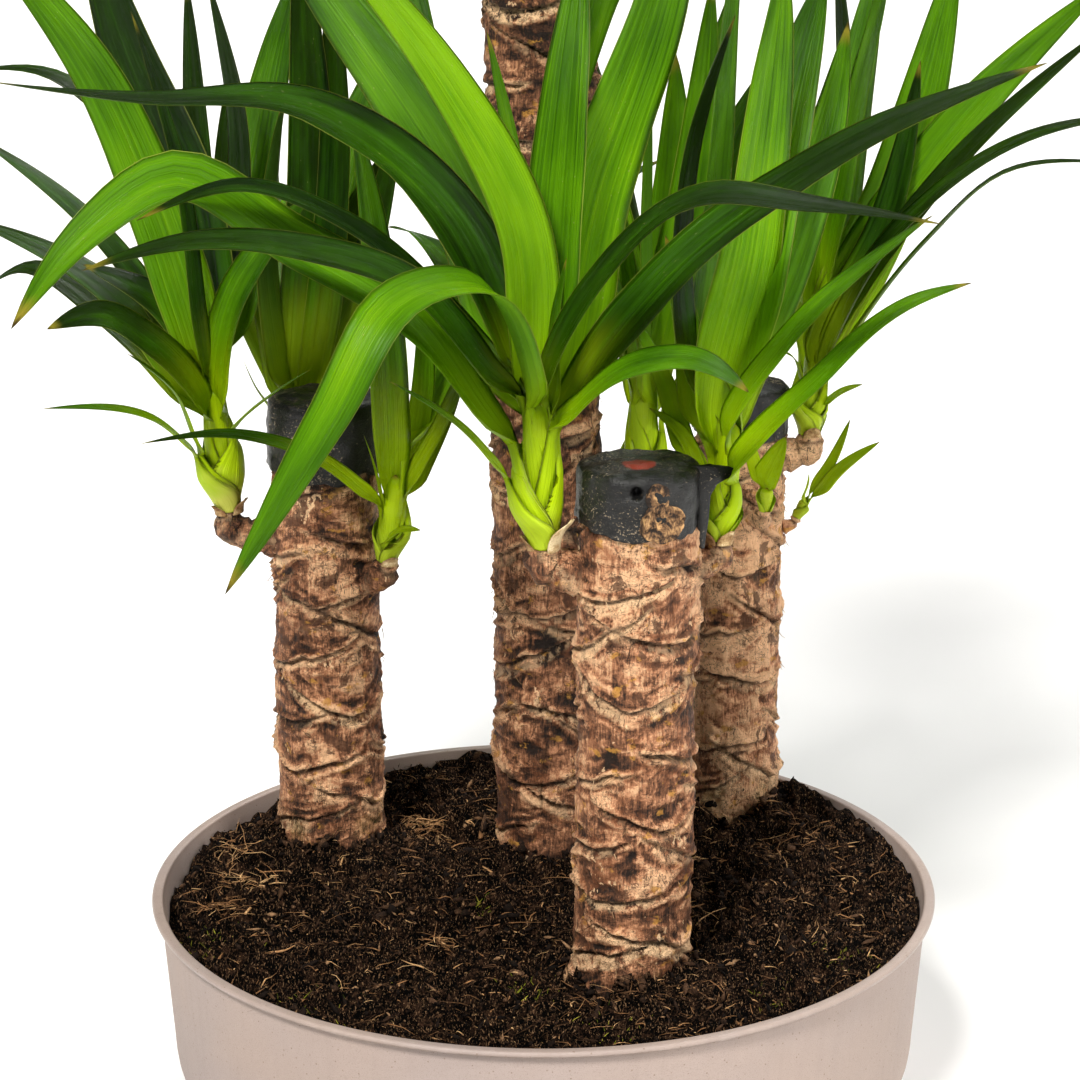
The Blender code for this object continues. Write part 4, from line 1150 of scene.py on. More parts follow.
@dataclass(frozen=True)
class PlasticFinish(Finish):
    """Matt taupe plastic with dark flecks, faint streaks down the wall, a little grime at the rim and a
    painted shadow under the lip.
    """

    name: str = "pot_plastic"
    taupe: Colour = (0.376, 0.306, 0.280)
    warm: Colour = (0.408, 0.318, 0.273)
    fleck: Colour = (0.170, 0.130, 0.105)
    # Grime, and the painted shadow under the lip
    dirt_and_shade: Colour = (0.150, 0.090, 0.050)

    def dress(self, made: Nodes) -> None:
        """Join the nodes up from Object coordinates and the values rim and soiled.

        Args:
            Join the nodes up from Object coordinates, the value rim, and the value for grime and the painted
            shadow under the lip.
        """
        clouds = made.grain(PLAIN, 9.0, 3.0, 0.5)
        streaks = made.grain((1.0, 1.0, 0.03), 160.0, 3.0, 0.6)
        speckle = made.grain(PLAIN, 2600.0, 2.0, 0.7)
        smear = made.grain(PLAIN, 75.0, 4.0, 0.7)
        spots = 1.0 - made.cells(PLAIN, 260.0).between(0.080, 0.125)
        rim = made.value("rim")
        colour = made.coated(
            self.taupe,
            (clouds.between(0.35, 0.70), self.warm),
            (streaks.between(0.45, 0.70) * 0.06, self.fleck),
            (speckle.between(0.57, 0.67) * (1.0 - rim * 0.7) * 0.52, self.fleck),
            (spots * 0.55, self.dirt_and_shade),
            # Grime, with the painted shadow in a thin line under the lip
            (smear.between(0.30, 0.60) * made.value("soiled"), self.dirt_and_shade),
        )
        made.finish(colour, 0.60 - rim * 0.36 + speckle * 0.10, 0.45)
        made.relief(speckle, 0.00022)


@dataclass(frozen=True)
class FloorFinish(Finish):
    """The plain pale floor."""

    name: str = "floor"
    pale: Colour = (0.90, 0.90, 0.90)

    def dress(self, made: Nodes) -> None:
        """A matt pale surface."""
        made.finish(self.pale, 0.9, 0.1)


# Pot and soil


@dataclass
class Pot:
    """The shallow round bowl: a turned wall with a rounded corner and a small lip."""

    sides: int = 240
    arc_rows: int = 12
    wall_rows: int = 10
    lip_height: float = 0.0029
    lip_width: float = 0.0041
    lip_round: float = 0.0013
    under_lip: Place = (0.0026, 0.0018, 0.0011, 0.0005)

    @staticmethod
    def wall_radius(height: Array) -> Array:
        """Outer radius of the straight tapered wall at a height."""
        under_lip = POT_DIAMETER / 2 - POT_LIP_REACH
        return under_lip - (POT_HEIGHT - POT_LIP_HEIGHT - height) * math.tan(POT_TAPER)

    def bowl(self, inset: float) -> Array:
        """Radius and height down the side to the flat base: a quarter arc, set in by a wall's thickness.

        Args:
            inset: How far inside the outer face.

        Returns:
            Pairs from the base's edge up to the straight wall.
        """
        turn = np.linspace(-math.pi / 2, -POT_TAPER, self.arc_rows)
        arc = POT_CORNER_RADIUS - inset
        centre = self.wall_radius(POT_CORNER_RADIUS) - POT_CORNER_RADIUS
        return stacked(centre + arc * np.cos(turn), POT_CORNER_RADIUS + arc * np.sin(turn))

    def profile(self) -> Array:
        """Radius and height round the whole section: up outside, over the lip's rounds and down inside.

        Returns:
            Pairs from the base's outer edge to its inner one.
        """
        lip = POT_DIAMETER / 2
        foot = POT_HEIGHT - self.lip_height
        bowl, inside = self.bowl(0.0), self.bowl(POT_WALL)
        rise = np.linspace(bowl[-1, 1], foot - 0.0040, self.wall_rows)[1:]
        rise = np.concatenate([rise, foot - np.array(self.under_lip)])
        turn = np.linspace(-0.42 * math.pi, 0.5 * math.pi, 9)
        bead = 0.5 * self.lip_height
        outer = stacked(lip - bead + bead * np.cos(turn), foot + bead + bead * np.sin(turn))
        outer[:, 1] += np.linspace(0.0, POT_HEIGHT - foot - 2 * bead, len(outer))
        turn = np.linspace(0.5 * math.pi, math.pi, 6)
        edge = lip - self.lip_width
        small = self.lip_round
        inner = stacked(edge + small * np.cos(turn), POT_HEIGHT - small * (1 - np.sin(turn)))
        drop = np.linspace(POT_HEIGHT - 0.004, inside[-1, 1], self.wall_rows)[:-1]
        return np.concatenate([
            bowl, stacked(self.wall_radius(rise), rise), outer, inner,
            stacked(self.wall_radius(drop) - POT_WALL, drop), inside[::-1],
        ])

    def build(self) -> None:
        """Turn the profile round Z and note where the rim is, where it has grime, and where a painted shadow
        lies under the lip.
        """
        profile = self.profile()
        rings = around(profile[:, :1], round_turns(self.sides), profile[:, 1:])
        height = rings[..., 2]
        above = height - POT_HEIGHT + self.lip_height
        outside = height > POT_HEIGHT - self.lip_height - 0.0036
        outside &= np.hypot(rings[..., 0], rings[..., 1]) > self.wall_radius(height) - 0.001
        rim = smooth((above + 0.0004) / 0.0012)
        # A little grime on the rim and all over, and a painted shadow in a thin dark line just under the
        # lip's outer edge
        soiled = 0.07 * rim + 0.90 * bell(above + 0.0002, 0.0009) * outside + 0.04
        bowl = loft(rings, rim=rim, soiled=soiled)
        bowl.piece("pot_bowl", PlasticFinish().material(), "pot_plastic", "pot")


@dataclass(frozen=True)
class Cane:
    """A cane: places and heights in cm, radii in mm, how pale its bark is, and its rows of points."""

    name: str
    foot: Place
    top: Place
    foot_radius: float
    top_radius: float
    height: float
    skirt: float
    pale: float
    rows: int

    def share(self, height: Array) -> Array:
        """How far up the cane a height is, from 0 at its foot to 1 at its top."""
        return (height - HOLE_FLOOR) / (self.height * CM - HOLE_FLOOR)

    def centre(self, height: Array | float) -> Array:
        """Centre of the leaning axis at a height, in metres."""
        share = np.asarray(self.share(height))[..., None]
        return (np.array(self.foot) + (np.array(self.top) - np.array(self.foot)) * share) * CM

    def radius(self, height: Array) -> Array:
        """Radius of the wood at a height, in metres."""
        return (self.foot_radius + (self.top_radius - self.foot_radius) * self.share(height)) * MM

    def hem(self) -> float:
        """Height of the wax cap's hem, before it waves."""
        return (self.height - self.skirt) * CM


CANES = {
    cane.name: cane for cane in (
        Cane("left", (-10.9, 8.4), (-10.9, 8.4), 26.5, 26.0, 33.3, 3.5, -0.04, 240),
        Cane("tall", (0.5, 8.0), (-0.4, 8.2), 27.5, 25.5, 66.5, 3.2, -0.17, 440),
        Cane("front", (3.9, -7.8), (4.2, -7.8), 25.0, 25.7, 34.2, 2.5, 0.07, 260),
        # The right cane's bark is made paler than the others' as painted light, where light from the right
        # falls on it
        Cane("right", (9.85, 11.7), (10.0, 11.9), 23.0, 22.5, 33.0, 2.2, 0.42, 230),
    )
}


@dataclass
class Soil:
    """The peat in the pot: level, fuller at the back right, mounded at the canes, lumpy and crumbly."""

    sides: int = 350
    rings: int = 152
    under_rings: int = 8
    back_heap: float = 0.0048

    @staticmethod
    def level(x: Array, y: Array) -> Array:
        """Height of the CAD model's soil: a level, a rise, four mounds and waves.

        Args:
            x: Places along X.
            y: Places along Y.

        Returns:
            The height at each.
        """
        height = POT_HEIGHT - SOIL_DROP + SOIL_RISE_BACK_RIGHT * np.clip((x + 0.6 * y) / SOIL_RISE_RUN, 0, 1)
        for cane in CANES.values():
            centre = cane.centre(POT_HEIGHT)
            height = height + SOIL_MOUND * bell(np.hypot(x - centre[0], y - centre[1]), SOIL_MOUND_REACH)
        along, across, slant = SOIL_LUMP_WAVES
        lumps = np.sin(along * x + 1.3) * np.cos(across * y) + 0.7 * np.sin(slant * x - along * y)
        return height + SOIL_LUMP * lumps

    def top(self, x: Array, y: Array) -> Array:
        """Height of the crumbly top: the level, clods, and crumbs whose tops are rounder than their gaps.

        Args:
            x: Places along X.
            y: Places along Y.

        Returns:
            The height at each.
        """
        flat = stacked(x, y, 0.0)
        lumps = 0.8 - 2.2 * np.abs(noise(flat, 0.0090, 11))
        crumbs_here = 0.8 - 2.2 * np.abs(noise(flat, 0.0042, 17))
        relief = 0.0052 * layered(flat, 0.023, 3, 3) + 0.0042 * lumps + 0.0028 * crumbs_here
        relief = relief + 0.0015 * noise(flat, 0.0017, 23)
        wall = self.reach() - np.hypot(x, y)
        heaped = self.back_heap * smooth(y / 0.080) * (1 - smooth(wall / 0.055))
        return self.level(x, y) + heaped + relief * (0.45 + 0.55 * smooth(wall / 0.012)) - 0.001

    def on(self, x: Array, y: Array, lift: Array | float = 0.0) -> Array:
        """Places on the crumbly top, or lifted off it."""
        return stacked(x, y, self.top(x, y) + lift)

    @staticmethod
    def reach() -> float:
        """Radius of the soil's edge against the wall."""
        return float(Pot.wall_radius(POT_HEIGHT - SOIL_DROP) - POT_WALL - 2 * GAP)

    def build(self) -> None:
        """A closed disc: a rounded under side in the bowl, then rings of the crumbly top inwards."""
        turn = round_turns(self.sides)
        bowl = Pot(arc_rows=self.under_rings).bowl(POT_WALL + 2 * GAP)
        under = around(bowl[:, :1], turn, bowl[:, 1:])
        radius = self.reach() * np.linspace(1.0, 0.004, self.rings)[:, None] ** 0.85
        over = self.on(radius * np.cos(turn), radius * np.sin(turn))
        loft(np.concatenate([under, over])).piece("soil_bed", PeatFinish().material(), "peat", "soil")


@dataclass
class Litter:
    """What lies on the soil: crumbs, fibres, sticks, chips and moss."""

    soil: Soil
    grain_count: int = 5800
    crumb_count: int = 650
    heap_count: int = 120
    heap_reach: float = 0.011
    fibre_count: int = 3800
    chip_count: int = 120
    moss_count: int = 330
    # Each tangle's place, reach, number of fibres and tone
    tangles: tuple[tuple[float, float, float, int, float], ...] = (
        (-0.061, 0.097, 0.013, 150, 0.66), (-0.145, 0.015, 0.014, 130, 0.78), (-0.161, 0.05, 0.012, 90, 0.72),
        (-0.157, -0.016, 0.009, 90, 0.62), (-0.049, -0.051, 0.006, 60, 0.6), (0.092, 0.118, 0.03, 220, 0.74),
        (-0.12, 0.11, 0.02, 80, 0.55), (0.13, 0.06, 0.03, 110, 0.55), (0.03, -0.12, 0.03, 90, 0.5),
    )
    # Each stick's place, bearing in degrees, length and radius in mm, and tone
    sticks: tuple[Place, ...] = (
        (-0.1404, -0.0094, 68, 21, 0.75, 0.82), (-0.0095, -0.0334, 62, 24, 1.30, 0.80),
        (0.0655, 0.0280, 40, 17, 0.9, 0.66), (0.1192, -0.0792, 64, 18, 1.1, 0.58),
        (-0.0882, -0.0275, 118, 14, 0.7, 0.78), (0.0710, -0.0155, 20, 15, 0.8, 0.5),
        (0.1500, -0.0060, 150, 16, 0.8, 0.66), (-0.1220, -0.0700, 12, 13, 0.7, 0.7),
        (-0.0610, -0.0760, 155, 12, 0.6, 0.85), (0.1180, 0.0300, 100, 19, 0.8, 0.6),
        (-0.0300, 0.0350, 130, 13, 0.7, 0.75), (-0.1010, 0.0400, 85, 12, 0.6, 0.8),
        (0.0100, -0.1300, 30, 11, 0.6, 0.7), (0.0900, -0.1100, 110, 13, 0.6, 0.6),
    )
    # Each moss bed's place and reach
    moss_beds: tuple[Place, ...] = (
        (-0.109, -0.118, 0.034), (0.034, -0.150, 0.020), (0.140, -0.080, 0.020), (0.105, -0.110, 0.014),
        (-0.160, -0.045, 0.022), (-0.006, -0.112, 0.016), (0.060, -0.060, 0.014), (-0.028, -0.015, 0.009),
    )

    def scattered(self, count: int, draw: Draw, margin: float, lift: float) -> Array:
        """Random places on the soil, evenly over its area, clear of the wall and the canes.

        Args:
            count: How many places to try.
            draw: The source of random numbers.
            margin: How far from the wall.
            lift: How far above the soil.

        Returns:
            The places that are clear.
        """
        turn = draw.uniform(0, FULL_TURN, count)
        radius = (self.soil.reach() - margin) * np.sqrt(draw.uniform(0, 1, count))
        x, y = radius * np.cos(turn), radius * np.sin(turn)
        clear = np.ones(count, bool)
        for cane in CANES.values():
            centre = cane.centre(POT_HEIGHT)
            clear &= np.hypot(x - centre[0], y - centre[1]) > cane.foot_radius * MM + 0.001
        return self.soil.on(x[clear], y[clear], lift)

    def clustered(self, beds: Array, draw: Draw, spread: float, margin: float, lift: float) -> Array:
        """Random places in clusters, thickest at each one's middle, less those too near the wall.

        Args:
            beds: The middle and reach of each place's cluster.
            draw: The source of random numbers.
            spread: How wide a cluster spreads, as a share of its reach.
            margin: How far from the wall.
            lift: How far above the soil.

        Returns:
            The places.
        """
        x = beds[:, 0] + beds[:, 2] * draw.normal(0, spread, len(beds))
        y = beds[:, 1] + beds[:, 2] * draw.normal(0, spread, len(beds))
        inside = np.hypot(x, y) < self.soil.reach() - margin
        return self.soil.on(x[inside], y[inside], lift)

    def peat_crumbs(self, draw: Draw) -> Surface:
        """Crumbs of peat: many small grains, fewer lumps of 2 to 7 mm, and a heap round each cane's foot.

        Args:
            draw: The source of random numbers.

        Returns:
            The crumbs.
        """
        lumps = [self.scattered(self.crumb_count, draw, 0.003, 0.0006)]
        for cane in CANES.values():
            turn = draw.uniform(0, FULL_TURN, self.heap_count)
            beyond = self.heap_reach * draw.uniform(0, 1, self.heap_count) ** 1.5
            radius = cane.foot_radius * MM + beyond
            x, y = cane.centre(POT_HEIGHT)
            heap = draw.uniform(0, 0.0045, self.heap_count) * (1 - beyond / self.heap_reach)
            lumps.append(self.soil.on(x + radius * np.cos(turn), y + radius * np.sin(turn), heap))
        lumps = np.concatenate(lumps)
        size = 0.0009 + 0.0019 * draw.uniform(0, 1, (len(lumps), 1)) ** 3
        large = crumbs(lumps, size * draw.uniform(0.5, 1.5, (len(lumps), 3)) * (1.5, 0.8, 0.7),
                       0.18 + 0.55 * draw.uniform(0, 1, len(lumps)) ** 1.6, 0.46, draw)
        grains = self.scattered(self.grain_count, draw, 0.002, 0.0004)
        size = 0.0004 + 0.0011 * draw.uniform(0, 1, (len(grains), 1)) ** 2
        small = crumbs(grains, size * draw.uniform(0.5, 1.7, (len(grains), 3)) * (2.1, 0.6, 0.5),
                       0.05 + 0.90 * draw.uniform(0, 1, len(grains)) ** 1.7, 0.40, draw, 0)
        return joined([large, small])

    def fibres(self, draw: Draw) -> Surface:
        """Fibres all over the soil, 2 to 15 mm long, with tangles of longer straw-coloured ones in places.

        Args:
            draw: The source of random numbers.

        Returns:
            The fibres.
        """
        places = [self.scattered(self.fibre_count, draw, 0.010, 0.0007)]
        tone = [0.12 + 0.82 * draw.uniform(0, 1, len(places[0])) ** 1.5]
        longer = [np.zeros(len(places[0]))]
        for x, y, reach, count, straw in self.tangles:
            tangle = self.clustered(np.tile((x, y, reach), (count, 1)), draw, 0.5, 0.012, 0.0012)
            places.append(tangle)
            tone.append(np.clip(straw + draw.normal(0, 0.16, len(tangle)), 0.05, 1.0))
            longer.append(np.ones(len(tangle)))
        places, tone, longer = (np.concatenate(parts) for parts in (places, tone, longer))
        count = len(places)
        turn = draw.uniform(0, FULL_TURN, count)
        length = 0.0022 + 0.0105 * draw.uniform(0, 1, count) ** 3
        length = length + 0.0045 * longer * draw.uniform(0, 1, count)
        rise = draw.uniform(-0.10, 0.75, count)
        ways = around(1.0, turn, rise) * length[:, None]
        bends = draw.normal(0, 0.34, (count, 3)) * length[:, None]
        bends[:, 2] = -np.abs(bends[:, 2]) - 0.25 * rise * length
        radius = 0.00013 + 0.00032 * draw.uniform(0, 1, count) ** 2.2
        return strands(places, ways, bends, radius, 0.22, tone, 41, 4)

    def splinters(self) -> Surface:
        """The larger sticks and splinters of wood at their places: thick strands, nearly straight.

        Returns:
            The sticks.
        """
        x, y, bearing, length, radius, tone = np.array(self.sticks).T
        length = length * MM
        ways = around(1.0, np.radians(bearing), 0.16) * length[:, None]
        starts = self.soil.on(x, y, 0.0012) - 0.5 * ways
        starts[:, 2] += 0.0012
        bends = stacked(0.08 * length * np.sin(9 * x), 0.08 * length * np.cos(7 * y), -0.06 * length)
        return strands(starts, ways, bends, radius * MM, 0.10, tone, 43, 9)

    def chips(self, draw: Draw) -> Surface:
        """Chips of wood and bark: balls stretched into long flat slivers, tilted a little and turned.

        Args:
            draw: The source of random numbers.

        Returns:
            The chips.
        """
        places = self.scattered(self.chip_count, draw, 0.010, 0.0009)
        count = len(places)
        long = 0.0008 + 0.0060 * draw.uniform(0, 1, (count, 1)) ** 4
        sizes = np.concatenate([long, long * draw.uniform(0.12, 0.34, (count, 1)),
                                long * draw.uniform(0.08, 0.2, (count, 1))], axis=1)
        tone = 0.15 + 0.50 * draw.uniform(0, 1, count)
        ball, faces = split_ball(1)
        turn = draw.uniform(0, FULL_TURN, count)[:, None]
        tilt = draw.normal(0, 0.25, count)[:, None]
        shaped = ball[None] * sizes[:, None] * (1 + 0.40 * draw.uniform(-1, 1, (count, len(ball), 1)))
        x, z = swung(shaped[..., 0], shaped[..., 2], tilt)
        x, y = swung(x, shaped[..., 1], turn)
        return scattering(stacked(x, y, z), places, faces, tone)

    def moss(self, draw: Draw) -> Surface:
        """Moss: short upright blades in a few beds, thickest at each bed's middle.

        Args:
            draw: The source of random numbers.

        Returns:
            The blades.
        """
        beds = np.array(self.moss_beds)[draw.integers(0, len(self.moss_beds), self.moss_count)]
        places = self.clustered(beds, draw, 0.42, 0.003, 0.0)
        count = len(places)
        length = draw.uniform(0.0008, 0.0026, count)[:, None]
        ways = stacked(draw.normal(0, 0.7, count), draw.normal(0, 0.7, count), 1.0) * length
        bends = draw.normal(0, 0.25, (count, 3)) * length
        radius = draw.uniform(0.00012, 0.00026, count)
        return strands(places, ways, bends, radius, 0.0, draw.uniform(0.0, 1.0, count), 47, 4)

    def build(self) -> None:
        """Make each kind of litter as one piece."""
        draw = np.random.default_rng(RANDOM_SEED)
        straw = STRAW_BITS.material()
        self.peat_crumbs(draw).piece("soil_crumbs", PEAT_BITS.material(), "peat")
        self.fibres(draw).piece("soil_fibres", straw, "peat")
        joined([self.chips(draw), self.splinters()]).piece("soil_chips", straw, "bark")
        self.moss(draw).piece("moss_tufts", MOSS_BITS.material(), "leaf")


# Canes


@dataclass
class Bark:
    """A cane's bark: overlapping leaf scars, fibres, cracks and the stubs that carry its shoots."""

    cane: Cane
    columns: int = 140
    stub_columns: int = 36
    stub_rows: int = 30
    start: float = 0.070
    scar_step: float = 0.0112
    scar_climb: float = 0.0100
    lip_proud: float = 0.0016
    slit_deep: float = 0.0018
    hole_deep: float = 0.0065
    # Radius at which the patterns are read, so that they are as large on every cane
    read_radius: float = 0.026

    def scars(self, turn: Array, height: Array) -> dict[str, Array]:
        """Where the leaf scars' bands, lips and slits are.

        The scars climb the cane by a fixed step, each turned by the golden angle from the last. A scar is a
        crescent: its lower edge is lowest at its middle and climbs with the way to its ends to the power 1.5,
        and its upper edge lies above it by a height that falls to nothing at both ends. Both edges carry a
        raised lip, and a slit runs under the upper one.

        Args:
            turn: Angles round the cane.
            height: Heights, the same shape.

        Returns:
            The band, the lips, the slits, where shade is painted, the flare above each upper lip, each
            plate's own tone, and folds that run along the nearest lip.
        """
        draw = random.Random(self.cane.name)
        found = {key: np.zeros(turn.shape) for key in ("band", "lip", "slit", "flare", "plate")}
        above = np.full(turn.shape, 1.0)
        nearest = np.full(turn.shape, 1.0)
        order = np.zeros(turn.shape)
        ring = around(1.0, turn, 0.0)
        count = int((self.cane.height * CM - self.start) / self.scar_step) + 3
        for index in range(count):
            middle = math.radians(GOLDEN_ANGLE) * index + draw.uniform(-0.3, 0.3)
            level = self.start + self.scar_step * (index + draw.uniform(-0.28, 0.28)) - 0.012
            half = draw.uniform(1.35, 2.25)
            climb = self.scar_climb * draw.uniform(0.60, 1.35)
            band_height = draw.uniform(0.0035, 0.0095)
            fresh = draw.uniform(0.1, 1.0)
            tone = draw.uniform(-0.22, 0.22)
            apart = np.abs((turn - middle + math.pi) % FULL_TURN - math.pi)
            near = np.clip(1.0 - (apart / half) ** 2, 0.0, 1.0)
            wave = 0.0024 * noise(ring + 9.0 * index, 0.42, index) + 0.0006 * noise(ring, 0.13, index + 50)
            low = level + climb * apart**1.5 + wave
            high = low + band_height * near**0.8
            gap = high - height
            fade = smooth(near / 0.25)
            inside = smooth((height - low) / 0.0012 + 0.5) * smooth(gap / 0.0012 + 0.5)
            lips = bell(height - high - 0.0010, 0.0015) + 0.80 * bell(height - low, 0.0013)
            over = np.exp(-np.clip(height - high, 0.0, 1.0) / 0.007) * (height > high)
            for key, share in (
                ("band", inside * fade * fresh),
                ("lip", np.minimum(lips, 1.0) * fade),
                ("slit", bell(gap - 0.0008, 0.0010) * fade * (0.35 + 0.65 * near)),
                ("flare", over * fade),
            ):
                found[key] = np.maximum(found[key], share)
            closer = (gap >= 0) & (gap < above) & (near > 0.05)
            above = np.where(closer, gap, above)
            found["plate"] = np.where(closer, tone, found["plate"])
            closer = (np.abs(gap) < np.abs(nearest)) & (near > 0.03)
            nearest = np.where(closer, gap, nearest)
            order = np.where(closer, index, order)
        folds = layered(around(self.read_radius, turn, nearest + 0.37 * order), (0.011, 0.011, 0.0023), 2, 85)
        found["folds"] = folds * (0.30 + 0.70 * bell(nearest, 0.0095))
        return found

    def trunk(self) -> Surface:
        """The cane: a tube pushed out at the lips and in at the slits and scar bands, rough all over.

        Returns:
            The tube, with how much scar, lip, paleness and moss it has, its paleness holding painted
            highlight and shade, and how much painted shade lies in its slits and cracks.
        """
        cane = self.cane
        turn, height = np.meshgrid(round_turns(self.columns),
                                   np.linspace(HOLE_FLOOR + GAP, cane.height * CM, cane.rows))
        near = self.scars(turn, height)
        place = around(self.read_radius, turn, height + 3.0 * cane.foot_radius)
        ragged = layered(place, (0.0045, 0.0045, 0.005), 3, 61)
        threads = layered(place, (0.0024, 0.0024, 0.018), 2, 67)
        waves = layered(place, 0.030, 2, 71)
        patchy = noise(place, (0.014, 0.014, 0.008), 75)
        crack = smooth((0.070 - np.abs(noise(place, (0.013, 0.013, 0.090), 73))) / 0.070)
        crack *= smooth((noise(place, 0.035, 79) + 0.10) / 0.3) * (0.95 if cane.name == "tall" else 0.40)
        lips = near["lip"] * np.clip(0.70 + 0.75 * patchy, 0.15, 1.3)
        wrinkles = 1.0 - 2.6 * np.abs(noise(place, (0.015, 0.015, 0.0042), 77))
        wrinkles *= smooth(0.45 + 1.4 * noise(place, 0.028, 78))
        push = 0.0007 * waves + 0.00016 * threads + 0.00042 * ragged * (1 + 1.2 * near["band"])
        push += 0.0011 * near["folds"] + 0.0009 * near["flare"] + 0.0005 * wrinkles
        push += self.lip_proud * lips * (1 + 0.35 * ragged)
        push -= self.slit_deep * near["slit"] + 0.0007 * near["band"] + 0.0013 * crack
        buried = smooth((height - 0.088) / 0.012)
        capped = smooth((cane.hem() - height + 0.002) / 0.006)
        if cane.name == "front":
            push += 0.0024 * bell(np.minimum(turn, FULL_TURN - turn), 0.38)
        radius = cane.radius(height) + push * buried * capped - 0.0007 * (1 - capped)
        if cane.name == "front":
            radius = radius - self.hole_deep * cap_hole(around(radius, turn, height))
        rings = around(radius, turn, height)
        rings[..., :2] += cane.centre(height)
        damp = 1 - smooth((height - 0.100) / 0.022)
        # Painted highlight: the bark is painted paler where its folds and wrinkles stand out, and on its
        # lips, partly their own paler colour; patchy adds random tone
        painted_light_and_tone = 0.62 * near["folds"] + 0.22 * lips + 0.24 * patchy + 0.18 * wrinkles
        # The tall cane's bark is darker towards its top: partly its own darker reddish brown, partly painted
        # shade
        if cane.name == "tall":
            painted_light_and_tone = painted_light_and_tone - 0.26 * smooth((height - 0.34) / 0.20)
        return loft(
            rings,
            scar=near["band"] * smooth(0.75 + 1.6 * noise(place, 0.016, 83)),
            # Painted shade in the slits under the upper lips and in the cracks
            slit=np.clip(near["slit"] * 1.05 - 0.1 + crack * 0.75, 0, 1) * buried,
            lip=lips,
            pale=0.47 + cane.pale + near["plate"] + painted_light_and_tone - 0.26 * damp,
            moss=0.5 * smooth((0.145 - height) / 0.035) * smooth(0.1 + noise(place, 0.018, 97)),
        )

    def stub(self, shoot: Shoot) -> Surface:
        """The bark stub that carries a shoot: a rough tube from inside the cane up to the shoot's base.

        Args:
            shoot: The shoot.

        Returns:
            The tube, with the same values as the trunk.
        """
        base = np.array(shoot.base) * CM
        axis = unit(np.array(shoot.axis, dtype=float))
        radius = shoot.radius * MM
        end = base - axis * GAP
        elbow = base - axis * (radius * STUB_ELBOW)
        x, y = self.cane.centre(base[2])
        start_height = elbow[2] - math.hypot(base[0] - x, base[1] - y) * STUB_SLOPE
        start = np.array([*self.cane.centre(start_height), start_height])
        line = smooth_path([start, start + (elbow - start) * 0.6, elbow, end], self.stub_rows)
        share = np.linspace(0, 1, self.stub_rows)
        thick = radius * np.interp(share, (0.0, 0.55, 0.88, 1.0), STUB_RADII)
        _, across, third = frames_along(line)
        out = spokes(across[:, None], third[:, None], round_turns(self.stub_columns))
        place = line[:, None] + thick[:, None, None] * out
        run = np.linspace(0, float(np.linalg.norm(end - start)), self.stub_rows)[:, None]
        phase = ((run + 0.0015 * noise(place, 0.012, 101)) / 0.0075) % 1.0
        lip = np.exp(-phase / 0.28)
        slit = bell(phase - 1.0, 0.12)
        ending = smooth((1 - share) / 0.06)[:, None]
        push = 0.0013 * layered(place, 0.007, 4, 103) + 0.0010 * lip - 0.0013 * slit
        return loft(
            place + (push * (0.35 + 0.65 * ending))[..., None] * out,
            scar=0.5 * smooth(0.4 + noise(place, 0.006, 107)),
            # Painted shade in the stub's slits; its lips are painted a little lighter as a highlight
            slit=0.75 * slit,
            lip=0.7 * lip,
            pale=0.42 + self.cane.pale + 0.30 * noise(place, 0.012, 109),
            moss=np.zeros(place.shape[:2]),
        )

    def build(self, finish: Material) -> None:
        """The cane and its stubs as one piece, in place of the CAD node.

        Args:
            finish: The bark.
        """
        name = self.cane.name
        stubs = [self.stub(shoot) for shoot in SHOOTS.values() if shoot.cane == name]
        joined([self.trunk()] + stubs).piece("bark_" + name, finish, "bark", "cane_" + name)

    def shreds(self, draw: Draw, count: int) -> Surface:
        """Shaggy fibres that hang from the scars' lips: strands that run down the bark and curl off it.

        Args:
            draw: The source of random numbers.
            count: How many to try.

        Returns:
            The fibres.
        """
        cane = self.cane
        turn = draw.uniform(0, FULL_TURN, count)
        height = draw.uniform(0.108, cane.hem() - 0.012, count)
        kept = self.scars(turn, height)["lip"] > 0.45
        turn, height = turn[kept], height[kept]
        count = len(turn)
        out = around(1.0, turn, 0.0)
        side = stacked(-np.sin(turn), np.cos(turn), 0.0)
        centre = np.concatenate([cane.centre(height), height[:, None]], axis=1)
        starts = centre + out * (cane.radius(height) + 0.0012)[:, None]
        length = draw.uniform(0.0015, 0.0075, count)[:, None]
        ways = (out * draw.uniform(0.05, 0.4, (count, 1)) + side * draw.normal(0, 0.55, (count, 1))) * length
        ways[:, 2] -= draw.uniform(0.4, 1.0, count) * length[:, 0]
        bends = out * draw.uniform(-0.2, 0.4, (count, 1)) * length
        tone = np.clip(0.45 + 0.5 * cane.pale + draw.normal(0, 0.22, count), 0.05, 1.0)
        return strands(starts, ways, bends, draw.uniform(0.00010, 0.00028, count), 0.2, tone, 113, 6)


def cap_hole(place: Array) -> Array:
    """How deep a point lies in the hole of the front cap, 0 to 1: a bell about the hole's middle.

    Args:
        place: Points about the front cane's axis.

    Returns:
        The share of the hole's depth.
    """
    depth = np.exp(-((place[..., 0] + 0.0014) / 0.0023) ** 2 - ((place[..., 2] - 0.3372) / 0.0026) ** 2)
    return smooth(depth * 1.5 - 0.1) * (place[..., 1] < 0)


